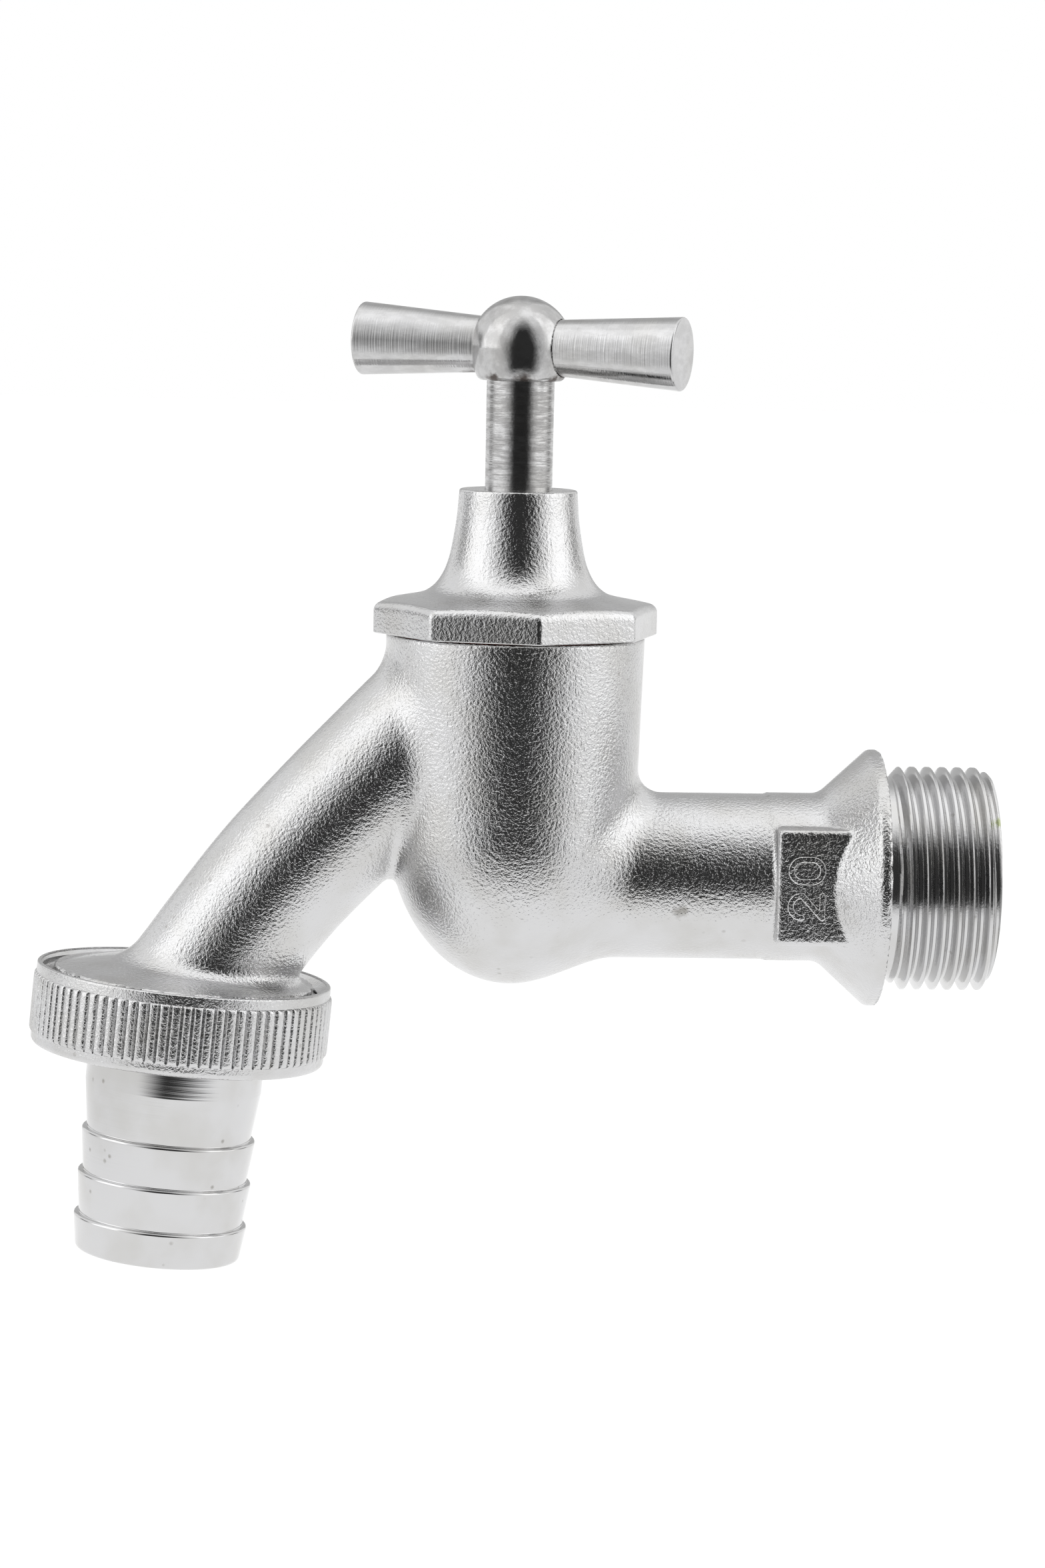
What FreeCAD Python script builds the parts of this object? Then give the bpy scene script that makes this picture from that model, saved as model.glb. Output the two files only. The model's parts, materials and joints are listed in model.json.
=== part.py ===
import FreeCAD, Part
import math
import os
from collections import namedtuple

from FreeCAD import Placement, Rotation, Vector

# Hose bib (draw-off tap) with T-handle, knurled union nut and barbed hose tail.
# Millimetres. The origin is the centre of the wall collar's flat face, on the
# inlet axis. +X runs out of the inlet towards the supply pipe, +Z runs up along
# the spindle, and the spout comes out on the -X side.

# --- threads
Thread = namedtuple("Thread", "major_r pitch depth floor half_angle")


def pipe_thread(major_r, pitch):
    """ISO 228 parallel thread, its root and crest drawn flat."""
    return Thread(major_r, pitch, 0.64 * pitch, 0.167 * pitch, 27.5)


G_3_4 = pipe_thread(13.22, 1.814)            # inlet, and bonnet into body
G_1 = pipe_thread(16.62, 2.309)              # outlet union
TR_12_3 = Thread(6.0, 3.0, 1.6, 1.08, 15.0)  # spindle
THREAD_GAP = 0.15             # radial play between a screw and its nut
FLANK_GAP = 0.06              # extra half width of a nut's groove
OVERCUT = 0.08                # of the pitch, how far a cutter passes the blank

# --- inlet pipe and wall collar, along +X
STEM_X = -43.4                # spindle axis
PIPE_R = 9.8
PIPE_BORE_R = 7.5
INSERT_X = -13.3              # step left by the casting insert
INSERT_R = 9.95
COLLAR_R = 15.2
COLLAR_RIM = 1.3
COLLAR_CONE = 5.6             # length of the flare behind the rim
INLET_END_X = 13.2
INLET_BORE_R = 9.5
INLET_BORE_DEPTH = 16.2
INLET_RELIEF_R = 11.9
INLET_RELIEF = 1.3            # undercut between collar and thread
INLET_THREAD_TURN = 72        # degrees, where the thread starts
PAD_HALF_Y = 10.7             # flat marking pads at front and back of the pipe
PAD_HALF_Z = 6.8
PAD_X0 = -12.9
PAD_X1 = -3.5
PAD_CORNER_R = 1.0
NUMERAL_H = 3.7               # raised size mark on the front pad
NUMERAL_W = 2.6
NUMERAL_STEP = 4.2
NUMERAL_STROKE = 0.75
NUMERAL_RAISED = 0.35
NUMERAL_X = -9.5

# --- body chamber, about the spindle axis
CHAMBER_TOP = 28.25
CHAMBER_TOP_R = 15.2
CHAMBER_R = 14.6
DOME_Z = 6.0                  # centre height of the half ellipsoid underneath
DOME_DEPTH = 19.05
WALL = 2.5
PARTITION_Z0 = 7.6            # wall between lower and upper chamber
PARTITION_Z1 = 9.8
SEAT_Z = 11.0
SEAT_HOLE_R = 6.0
SEAT_LIP_R = 7.2
UPPER_BORE_R = 11.9

# --- spout: centre (x, z), slope in degrees below the horizontal, outer radius
SPOUT_STATIONS = (
    (-50.1, 19.9, 45, 9.43),
    (-56.9, 13.2, 45, 9.28),
    (-63.5, 6.6, 46, 9.05),
    (-69.1, 0.7, 48, 8.88),
    (-75.0, -6.7, 54, 8.80),
    (-78.3, -11.3, 56, 8.85),
    (-82.05, -16.55, 56, 8.95),
)
SPOUT_WALL = 2.2
UNION_THREAD_H = -0.3         # a groove of the union thread starts here
SPOUT_PORT_TOP = 18.6         # top of the spout's port in the chamber wall
BARREL_BLEND_R = 3.0          # cast fillets where pipe and spout meet the chamber
SPOUT_BLEND_R = 1.6
FLANGE_BLEND_R = 1.5

# --- outlet: axis and union, h counts down the outlet axis from the nut's rim
OUTLET_X = -81.64
OUTLET_Z = -12.29
OUTLET_TILT = 4.9             # the outlet leans away from the wall
OUTLET_END_H = 5.4
OUTLET_BORE_R = 8.2
FLANGE_EDGE_R = 15.3
FLANGE_EDGE_H = 0.2
FLANGE_APEX_H = -2.9
FLANGE_H = 0.8                # underside of the cast flange, where the thread starts

# --- union nut
NUT_RIM_R = 17.34
NUT_RIM_H = 1.25
NUT_KNURL_H = 8.2
NUT_THREAD_H = 6.3
NUT_RELIEF_R = 16.85
NUT_H = 9.6
NUT_BAND_R = 17.3
NUT_SHOULDER_H = 8.3
NUT_HOLE_R = 10.75
KNURL_RIDGES = 84
KNURL_CREST_R = 17.66
KNURL_EDGE_R = 17.58
KNURL_ROOT_R = 17.36
KNURL_CREST_SHARE = 0.66      # of a ridge's pitch

# --- hose tail
TAIL_FLANGE_R = 14.6
TAIL_NECK_R = 10.4
TAIL_NECK_H = 13.4
TAIL_ROOT_R = 9.7
TAIL_BARB_R = 10.3
TAIL_BARBS = 3
TAIL_FIRST_BARB_H = 19.1
TAIL_BARB_PITCH = 5.13
TAIL_END_H = 33.65
TAIL_END_ROUND = 0.6
TAIL_BORE_R = 7.9
GASKET_H = 1.5

# --- bonnet
BONNET_TOP = 45.3
FLANGE_Z = 28.4               # underside of the octagon
OCTAGON_FLATS = 31.3
OCTAGON_TURN = 5.75           # degrees, how far it was screwed round
OCTAGON_ROUND_R = 0.9
BONNET_SKIRT_Z = 19.4
BONNET_THREAD_Z = 17.6        # a groove of the bonnet thread starts here
SKIRT_BORE_R = 9.6
NUT_THREAD_Z0 = 24.5          # spindle nut inside the bonnet
NUT_THREAD_Z1 = 34.0
NECK_BORE_Z = 38.0
NECK_BORE_R = 4.0
BONNET_UNDERCUT_R = 12.0
BONNET_GASKET_R = 14.3
BONNET_GASKET_HOLE_R = 13.3
BONNET_GASKET_Z = 27.4
THREAD_RELIEF_R = 6.4         # above the spindle nut
O_RING_SECTION_R = 0.9
O_RING_GAP = 0.02
O_RING_Z = (40.0, 43.0)
O_RING_GROOVE_WIDTH = 2.0

# --- spindle and jumper
SPINDLE_R = 3.95
SPINDLE_BOTTOM = 16.0
SPINDLE_TIP_R = 4.3
SPINDLE_THREAD_Z0 = 17.2
SPINDLE_THREAD_Z1 = 30.5
SPIGOT_R = 3.0
SPIGOT_TOP = 65.0
JUMPER_STEM_R = 2.4
JUMPER_BORE_R = 2.5
JUMPER_STEM_TOP = 25.4
JUMPER_BORE_TOP = 26.0
JUMPER_DISC_R = 8.4
JUMPER_DISC_Z = 13.9
JUMPER_CUP_Z = 12.4
CLIP_Z = 22.1
CLIP_THICKNESS = 0.9
CLIP_R = 2.95
CLIP_GROOVE_R = 1.9
WASHER_R = 7.6
STUD_R = 2.0
PLATE_R = 4.6
PLATE_T = 0.8
WASHER_HOLE_R = 2.05
WASHER_NUT_FLATS = 7.0
WASHER_NUT_T = 1.8
STUD_END_Z = 8.0

# --- T-handle
HUB_Z = 62.0                  # height of the arms
HUB_R = 5.95
BALL_Z = 61.9                 # height of the ball's centre
HUB_BOTTOM = 58.0
BAR_TURN = 23.0               # degrees, the bar's right end comes forward
BAR_DROOP = 1.2               # degrees, the bar is a little out of square
ARM_END = 19.75               # from the spindle axis to an arm's flat end
ARM_END_R = 4.3
ARM_ROOT_R = 3.25
ARM_ROOT = 4.3                # the arm is let into the ball this deep
ARM_SPIGOT_R = 2.7
ARM_SPIGOT = 3.6
CROSS_STUD_R = 1.5
CROSS_STUD_HALF = 9.0

Z_AXIS = Vector(0, 0, 1)
ARC = True                    # marks the middle point of an arc in an outline
STEM = Placement(Vector(STEM_X, 0, 0), Rotation())
INLET = Placement(Vector(), Rotation(Vector(0, 1, 0), 90))
OUTLET = Placement(Vector(OUTLET_X, 0, OUTLET_Z), Rotation(Vector(0, 1, 0), 180 + OUTLET_TILT))
BAR = Placement(
    Vector(STEM_X, 0, HUB_Z),
    Rotation(Vector(0, 0, 1), -BAR_TURN) * Rotation(Vector(0, 1, 0), 90 + BAR_DROOP),
)
TURN_ROUND = Placement(Vector(), Rotation(Vector(0, 1, 0), 180))


def placed(shape, placement):
    """A copy of a shape that was built about the local Z axis, put in its place."""
    copy = shape.copy()
    copy.Placement = placement.multiply(copy.Placement)
    return copy


def turned(outline):
    """Solid of revolution about Z. The outline is (radius, height) points; a point
    with a third value is the middle of an arc from the point before to the next."""
    edges = []
    points = [(Vector(p[0], 0, p[1]), len(p) == 3) for p in outline]
    points.append(points[0])
    last = points[0][0]
    middle = None
    for point, is_arc_middle in points[1:]:
        if is_arc_middle:
            middle = point
            continue
        if middle is None:
            edges.append(Part.LineSegment(last, point).toShape())
        else:
            edges.append(Part.Arc(last, middle, point).toShape())
        middle = None
        last = point
    face = Part.Face(Part.Wire(edges))
    return face.revolve(Vector(), Z_AXIS, 360)


def cylinder(radius, z0, z1):
    return Part.makeCylinder(radius, z1 - z0, Vector(0, 0, z0))


def tube(outer_r, inner_r, z0, z1):
    return cylinder(outer_r, z0, z1).cut(cylinder(inner_r, z0, z1))


def prism(corners_r, sides, z0, z1, turn=0.0):
    """Regular prism about Z, one corner at the angle turn."""
    points = []
    for i in range(sides + 1):
        angle = math.radians(turn + 360 * i / sides)
        points.append(Vector(corners_r * math.cos(angle), corners_r * math.sin(angle), z0))
    return Part.Face(Part.makePolygon(points)).extrude(Vector(0, 0, z1 - z0))


def helical_bar(r0, width0, r1, width1, pitch, z0, z1):
    """Right-hand helical bar about Z, centred on z0 at the start: a trapezium that
    is width0 wide at radius r0 and width1 wide at radius r1."""
    corners = [
        Vector(r0, 0, -width0 / 2),
        Vector(r1, 0, -width1 / 2),
        Vector(r1, 0, width1 / 2),
        Vector(r0, 0, width0 / 2),
    ]
    sweep = Part.BRepOffsetAPI.MakePipeShell(Part.makeHelix(pitch, z1 - z0, r0))
    sweep.setFrenetMode(True)
    sweep.add(Part.makePolygon(corners + corners[:1]))
    sweep.build()
    sweep.makeSolid()
    bar = sweep.shape()
    bar.translate(Vector(0, 0, z0))
    return bar


def screw_groove(thread, z0, z1):
    """Cutter for an external thread: the groove between its ridges."""
    slope = 2 * math.tan(math.radians(thread.half_angle))
    over = OVERCUT * thread.pitch
    return helical_bar(
        thread.major_r - thread.depth, thread.floor,
        thread.major_r + over, thread.floor + slope * (thread.depth + over),
        thread.pitch, z0, z1,
    )


def nut_groove(thread, z0, z1):
    """Cutter for the matching internal thread. The screw's ridges lie half a pitch
    from its grooves, so a nut cut from z0 takes a screw cut from z0 + pitch / 2."""
    slope = 2 * math.tan(math.radians(thread.half_angle))
    over = OVERCUT * thread.pitch
    tip = thread.pitch - thread.floor - slope * thread.depth + 2 * FLANK_GAP
    return helical_bar(
        nut_bore_r(thread) - over, tip + slope * (thread.depth + over),
        thread.major_r + THREAD_GAP, tip,
        thread.pitch, z0, z1,
    )


def nut_bore_r(thread):
    return thread.major_r + THREAD_GAP - thread.depth


def spun(shape, angle):
    """A copy turned about Z. On a solid of revolution only the seam moves."""
    copy = shape.copy()
    copy.rotate(Vector(), Z_AXIS, angle)
    return copy


def threaded(blank_at, cutter):
    """Cut a thread. blank_at(angle) makes the blank with its seams at that angle: the
    groove only comes out whole where no seam runs along one of its edges."""
    for angle in range(0, 360, 40):
        blank = blank_at(angle)
        solid = blank.cut(cutter)
        removed = blank.Volume - solid.Volume
        if solid.isValid() and 0.35 * cutter.Volume < removed < cutter.Volume:
            return solid
    raise ValueError("no seam angle gives a whole thread")


# --- valve body

def chamber_outside():
    """Half ellipsoid below, slightly flared barrel above."""
    bottom = Vector(0, 0, DOME_Z - DOME_DEPTH)
    side = Vector(CHAMBER_R, 0, DOME_Z)
    dome = Part.Ellipse(bottom, side, Vector(0, 0, DOME_Z))
    arc = Part.Arc(dome, 0, math.pi / 2).toShape()
    lines = Part.makePolygon([
        side, Vector(CHAMBER_TOP_R, 0, CHAMBER_TOP), Vector(0, 0, CHAMBER_TOP), bottom,
    ])
    return Part.Face(Part.Wire([arc] + lines.Edges)).revolve(Vector(), Z_AXIS, 360)


def inlet_outside():
    """Pipe and flared wall collar, about the local Z axis = +X."""
    cone_x = -COLLAR_RIM - COLLAR_CONE
    return turned([
        (0, STEM_X), (PIPE_R, STEM_X), (PIPE_R, INSERT_X), (INSERT_R, INSERT_X),
        (INSERT_R, cone_x - 0.6), (INSERT_R + 0.3, cone_x + 0.25, ARC), (INSERT_R + 0.9, cone_x + 0.9),
        (COLLAR_R - 0.9, -COLLAR_RIM - 0.9), (COLLAR_R - 0.25, -COLLAR_RIM - 0.35, ARC),
        (COLLAR_R, -COLLAR_RIM + 0.4), (COLLAR_R, 0), (0, 0),
    ])


def inlet_thread():
    """Threaded end beyond the wall collar, with an undercut behind the thread."""
    chamfer = 0.9
    blank = turned([
        (INLET_BORE_R, 0), (INLET_RELIEF_R, 0), (INLET_RELIEF_R, INLET_RELIEF),
        (G_3_4.major_r, INLET_RELIEF + 1.2), (G_3_4.major_r, INLET_END_X - chamfer),
        (G_3_4.major_r - chamfer, INLET_END_X), (INLET_BORE_R, INLET_END_X),
    ])
    ring = threaded(lambda seam: spun(blank, seam), screw_groove(G_3_4, 0.9, INLET_END_X + 1))
    return placed(spun(ring, INLET_THREAD_TURN), INLET)


def marking_pads():
    """One block through the pipe, which shows as a flat pad at front and back."""
    length = PAD_X1 - PAD_X0
    block = Part.makeBox(
        length, 2 * PAD_HALF_Y, 2 * PAD_HALF_Z, Vector(PAD_X0, -PAD_HALF_Y, -PAD_HALF_Z)
    )
    corners = [
        e for e in block.Edges
        if abs(e.CenterOfMass.y) < 0.01 and abs(e.CenterOfMass.x - PAD_X0) < 0.01
    ]
    return block.makeFillet(PAD_CORNER_R, corners)


def spout_loft(radius_change):
    """The bent spout as a loft through circles square to its centre line. The
    change in radius makes the waterway from the outside."""
    rings = []
    for x, z, slope, radius in SPOUT_STATIONS:
        angle = math.radians(slope)
        along = Vector(-math.cos(angle), 0, -math.sin(angle))
        rings.append(Part.Wire(Part.makeCircle(radius + radius_change, Vector(x, 0, z), along)))
    return Part.makeLoft(rings, True)


def outlet_flange():
    """Conical cast flange above the union thread."""
    outline = [(0, FLANGE_APEX_H), (FLANGE_EDGE_R, FLANGE_EDGE_H), (FLANGE_EDGE_R, FLANGE_H), (0, FLANGE_H)]
    return placed(turned(outline), OUTLET)


def outlet_thread():
    chamfer = 0.7
    blank = turned([
        (OUTLET_BORE_R, FLANGE_H), (FLANGE_EDGE_R, FLANGE_H), (G_1.major_r, FLANGE_H + 1.2),
        (G_1.major_r, OUTLET_END_H - chamfer), (G_1.major_r - chamfer, OUTLET_END_H),
        (OUTLET_BORE_R, OUTLET_END_H),
    ])
    groove = screw_groove(G_1, UNION_THREAD_H, OUTLET_END_H + 1.2)
    return placed(threaded(lambda seam: spun(blank, seam), groove), OUTLET)


def racetrack(half_w, half_h):
    """Face with straight sides and round ends, in the XY plane."""
    z = half_h - half_w
    corners = [Vector(half_w, -z, 0), Vector(half_w, z, 0), Vector(-half_w, z, 0), Vector(-half_w, -z, 0)]
    return Part.Face(Part.Wire([
        Part.LineSegment(corners[0], corners[1]).toShape(),
        Part.Arc(corners[1], Vector(0, half_h, 0), corners[2]).toShape(),
        Part.LineSegment(corners[2], corners[3]).toShape(),
        Part.Arc(corners[3], Vector(0, -half_h, 0), corners[0]).toShape(),
    ]))


def size_numeral():
    """The nominal size, 20, as raised strokes on the front pad. It reads upwards."""
    half_w, half_h, half_stroke = NUMERAL_W / 2, NUMERAL_H / 2, NUMERAL_STROKE / 2
    bow_y = half_h - half_w
    bow = Part.Arc(Vector(-half_w, bow_y, 0), Vector(0, half_h, 0), Vector(half_w, bow_y, 0))
    tail = Part.makePolygon([
        Vector(half_w, bow_y, 0), Vector(-half_w, -half_h, 0), Vector(half_w, -half_h, 0),
    ])
    two = Part.Face(Part.Wire([bow.toShape()] + tail.Edges).makeOffset2D(half_stroke))
    nought = racetrack(half_w + half_stroke, half_h + half_stroke).cut(
        racetrack(half_w - half_stroke, half_h - half_stroke)
    )
    # text plane: its X runs up the pad (+Z) and its normal faces the front (-Y)
    upright = Placement(
        Vector(NUMERAL_X, -PAD_HALF_Y, 0),
        Rotation(Vector(0, 0, 1), Vector(-1, 0, 0), Vector(0, -1, 0), "XYZ"),
    )
    strokes = []
    for face, centre in ((two, -NUMERAL_STEP / 2), (nought, NUMERAL_STEP / 2)):
        stroke = face.extrude(Vector(0, 0, NUMERAL_RAISED + 0.5))
        stroke.translate(Vector(centre, 0, -0.5))
        strokes.append(placed(stroke, upright))
    return strokes


def blend(shape, radius, corner_a, corner_b):
    """Round the curved seams that lie wholly inside the box between two corners."""
    box = FreeCAD.BoundBox(*corner_a, *corner_b)
    seams = []
    for edge in shape.Edges:
        faces = shape.ancestorsOfType(edge, Part.Face)
        if len(faces) == 2 and box.isInside(edge.BoundBox) and not edge.Degenerated:
            if edge.Curve.TypeId == "Part::GeomBSplineCurve":
                seams.append(edge)
    return shape.makeFillet(radius, seams)


def body_outside():
    chamber = placed(chamber_outside(), STEM)
    body = chamber.fuse(placed(inlet_outside(), INLET)).removeSplitter()
    body = blend(body, BARREL_BLEND_R, (-36, -11, -11), (-27, 11, 11))
    body = body.fuse(spout_loft(0)).removeSplitter()
    body = blend(body, SPOUT_BLEND_R, (-60, -10, -1), (-54, 10, 26))
    below_flange = placed(cylinder(30, FLANGE_H, FLANGE_H + 30), OUTLET)
    body = body.cut(below_flange).fuse(outlet_flange()).removeSplitter()
    body = blend(body, FLANGE_BLEND_R, (-90, -9, -14), (-66, 9, -9))
    return body.fuse([marking_pads()] + size_numeral())


def lower_chamber():
    """The space under the partition, a wall thickness inside the dome."""
    bottom = Vector(0, 0, DOME_Z - DOME_DEPTH + WALL)
    side = Vector(CHAMBER_R - WALL, 0, DOME_Z)
    dome = Part.Ellipse(bottom, side, Vector(0, 0, DOME_Z))
    arc = Part.Arc(dome, 0, math.pi / 2).toShape()
    lines = Part.makePolygon([
        side, Vector(side.x, 0, PARTITION_Z0), Vector(0, 0, PARTITION_Z0), bottom,
    ])
    return Part.Face(Part.Wire([arc] + lines.Edges)).revolve(Vector(), Z_AXIS, 360)


def upper_chamber():
    """Seat, chamber, bonnet thread bore and gasket recess."""
    thread_r = nut_bore_r(G_3_4)
    recess_r = BONNET_GASKET_R + 0.05
    return turned([
        (0, SEAT_Z), (SEAT_LIP_R, SEAT_Z), (SEAT_LIP_R, PARTITION_Z1),
        (UPPER_BORE_R, PARTITION_Z1), (UPPER_BORE_R, SPOUT_PORT_TOP),
        (thread_r, SPOUT_PORT_TOP), (thread_r, BONNET_GASKET_Z),
        (recess_r, BONNET_GASKET_Z), (recess_r, CHAMBER_TOP + 1), (0, CHAMBER_TOP + 1),
    ])


def inlet_bore():
    start = INLET_END_X - INLET_BORE_DEPTH
    return turned([
        (0, STEM_X), (PIPE_BORE_R, STEM_X), (PIPE_BORE_R, start - 2.0),
        (INLET_BORE_R, start), (INLET_BORE_R, 1), (0, 1),
    ])


def spout_bore():
    """The spout's waterway. It may only open into the upper chamber, so it stays
    clear of the lower chamber's wall and of the bonnet's thread."""
    keep_low = cylinder(CHAMBER_R, -DOME_DEPTH, PARTITION_Z1)
    keep_high = cylinder(CHAMBER_R, SPOUT_PORT_TOP, CHAMBER_TOP)
    bore = spout_loft(-SPOUT_WALL).cut([placed(keep_low, STEM), placed(keep_high, STEM)])
    return bore.fuse(placed(cylinder(OUTLET_BORE_R, 1.0, OUTLET_END_H + 4), OUTLET))


def valve_body():
    seat_hole = cylinder(SEAT_HOLE_R, PARTITION_Z0 - 1, SEAT_Z + 1)
    body = body_outside().cut([
        placed(lower_chamber(), STEM), placed(seat_hole, STEM), placed(inlet_bore(), INLET), spout_bore(),
    ])
    bonnet_thread = nut_groove(G_3_4, BONNET_THREAD_Z + G_3_4.pitch / 2, BONNET_GASKET_Z + 0.2)
    body = threaded(
        lambda seam: body.cut(placed(spun(upper_chamber(), seam), STEM)), placed(bonnet_thread, STEM)
    )
    return body.fuse([inlet_thread(), outlet_thread()])


# --- bonnet and its seals

def bonnet():
    corners_r = OCTAGON_FLATS / 2 / math.cos(math.pi / 8)
    outside = turned([
        (0, FLANGE_Z), (corners_r + 1, FLANGE_Z), (corners_r + 1, 31.6), (12.2, 32.75),
        (9.55, 34.1, ARC), (8.0, 37.2), (7.2, 41.7), (6.95, 44.9),
        (6.83, 45.2, ARC), (6.55, BONNET_TOP), (0, BONNET_TOP),
    ])
    head = outside.common(prism(corners_r, 8, FLANGE_Z, BONNET_TOP + 1, OCTAGON_TURN))
    edges = []
    for edge in head.Edges:
        middle = edge.valueAt((edge.FirstParameter + edge.LastParameter) / 2)
        if math.hypot(middle.x, middle.y) > OCTAGON_FLATS / 2 - 0.1 and middle.z > FLANGE_Z + 1:
            edges.append(edge)
    head = head.makeFillet(OCTAGON_ROUND_R, edges)
    shank = turned([
        (0, BONNET_SKIRT_Z), (G_3_4.major_r - 0.9, BONNET_SKIRT_Z),
        (G_3_4.major_r, BONNET_SKIRT_Z + 0.9), (G_3_4.major_r, BONNET_GASKET_Z - 1.8),
        (BONNET_UNDERCUT_R, BONNET_GASKET_Z - 0.6), (BONNET_UNDERCUT_R, FLANGE_Z + 0.5),
        (0, FLANGE_Z + 0.5),
    ])
    nut_r = nut_bore_r(TR_12_3)
    bore = [
        (0, BONNET_SKIRT_Z - 1), (SKIRT_BORE_R, BONNET_SKIRT_Z - 1),
        (SKIRT_BORE_R, NUT_THREAD_Z0), (nut_r, NUT_THREAD_Z0), (nut_r, NUT_THREAD_Z1),
        (THREAD_RELIEF_R, NUT_THREAD_Z1), (THREAD_RELIEF_R, NECK_BORE_Z),
        (NECK_BORE_R, NECK_BORE_Z),
    ]
    groove_r = SPINDLE_R + O_RING_GAP + 2 * O_RING_SECTION_R
    for z in O_RING_Z:
        z0, z1 = z - O_RING_GROOVE_WIDTH / 2, z + O_RING_GROOVE_WIDTH / 2
        bore += [(NECK_BORE_R, z0), (groove_r, z0), (groove_r, z1), (NECK_BORE_R, z1)]
    bore += [(NECK_BORE_R, BONNET_TOP + 1), (0, BONNET_TOP + 1)]
    body_thread = screw_groove(G_3_4, BONNET_THREAD_Z, FLANGE_Z)
    solid = head.fuse(threaded(lambda seam: spun(shank, seam), body_thread))
    nut_thread = nut_groove(TR_12_3, NUT_THREAD_Z0 - 1.5, NUT_THREAD_Z1 + 1.2)
    return placed(threaded(lambda seam: solid.cut(spun(turned(bore), seam)), nut_thread), STEM)


def bonnet_gasket():
    ring = tube(BONNET_GASKET_R, BONNET_GASKET_HOLE_R, BONNET_GASKET_Z, FLANGE_Z)
    return placed(ring, STEM)


def spindle_o_ring(z):
    ring_r = SPINDLE_R + O_RING_GAP + O_RING_SECTION_R
    return placed(Part.makeTorus(ring_r, O_RING_SECTION_R, Vector(0, 0, z)), STEM)


# --- spindle, jumper and washer

def spindle():
    major_r = TR_12_3.major_r
    outside = turned([
        (0, SPINDLE_BOTTOM), (SPINDLE_TIP_R, SPINDLE_BOTTOM), (SPINDLE_TIP_R, SPINDLE_THREAD_Z0),
        (major_r - 0.7, SPINDLE_THREAD_Z0), (major_r, SPINDLE_THREAD_Z0 + 0.7),
        (major_r, SPINDLE_THREAD_Z1 - 0.7), (major_r - 0.7, SPINDLE_THREAD_Z1),
        (SPINDLE_R, SPINDLE_THREAD_Z1), (SPINDLE_R, HUB_BOTTOM), (SPIGOT_R, HUB_BOTTOM),
        (SPIGOT_R, SPIGOT_TOP), (0, SPIGOT_TOP),
    ])
    clip_z0, clip_z1 = CLIP_Z - 0.1, CLIP_Z + CLIP_THICKNESS + 0.1
    socket = turned([
        (0, SPINDLE_BOTTOM - 1), (JUMPER_BORE_R, SPINDLE_BOTTOM - 1), (JUMPER_BORE_R, clip_z0),
        (CLIP_R + 0.15, clip_z0), (CLIP_R + 0.15, clip_z1), (JUMPER_BORE_R, clip_z1),
        (JUMPER_BORE_R, JUMPER_BORE_TOP), (0, JUMPER_BORE_TOP + 1.2),
    ])
    # in step with the bonnet's nut thread when the tap is closed
    turns_down = 3 * TR_12_3.pitch
    thread_z = NUT_THREAD_Z0 - 1.5 + TR_12_3.pitch / 2 - turns_down
    thread = screw_groove(TR_12_3, thread_z, SPINDLE_THREAD_Z1 + 1.5)
    solid = threaded(lambda seam: spun(outside, seam), thread).cut(socket)
    return placed(solid, STEM).cut(placed(cylinder(CROSS_STUD_R, -HUB_R, HUB_R), BAR))


def jumper():
    clip_top = CLIP_Z + CLIP_THICKNESS
    return placed(turned([
        (0, STUD_END_Z), (STUD_R, STUD_END_Z), (STUD_R, JUMPER_DISC_Z),
        (WASHER_R + 0.1, JUMPER_DISC_Z), (WASHER_R + 0.1, JUMPER_CUP_Z),
        (JUMPER_DISC_R, JUMPER_CUP_Z), (JUMPER_DISC_R, SPINDLE_BOTTOM - 0.4),
        (JUMPER_DISC_R - 0.4, SPINDLE_BOTTOM), (JUMPER_STEM_R, SPINDLE_BOTTOM),
        (JUMPER_STEM_R, CLIP_Z), (CLIP_GROOVE_R, CLIP_Z), (CLIP_GROOVE_R, clip_top),
        (JUMPER_STEM_R, clip_top), (JUMPER_STEM_R, JUMPER_STEM_TOP - 0.4),
        (JUMPER_STEM_R - 0.4, JUMPER_STEM_TOP), (0, JUMPER_STEM_TOP),
    ]), STEM)


def jumper_clip():
    """Open spring ring in the jumper's groove."""
    top = CLIP_Z + CLIP_THICKNESS
    ring = tube(CLIP_R, CLIP_GROOVE_R, CLIP_Z, top)
    mouth = Part.makeBox(2 * CLIP_R, 1.6, 2 * CLIP_THICKNESS, Vector(0, -0.8, CLIP_Z - 0.2))
    return placed(ring.cut(mouth), STEM)


def seat_washer():
    return placed(tube(WASHER_R, WASHER_HOLE_R, SEAT_Z, JUMPER_DISC_Z), STEM)


def washer_plate():
    return placed(tube(PLATE_R, WASHER_HOLE_R, SEAT_Z - PLATE_T, SEAT_Z), STEM)


def washer_nut():
    top = SEAT_Z - PLATE_T
    corners_r = WASHER_NUT_FLATS / 2 / math.cos(math.pi / 6)
    nut = prism(corners_r, 6, top - WASHER_NUT_T, top)
    return placed(nut.cut(cylinder(STUD_R, top - WASHER_NUT_T, top)), STEM)


# --- T-handle

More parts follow.
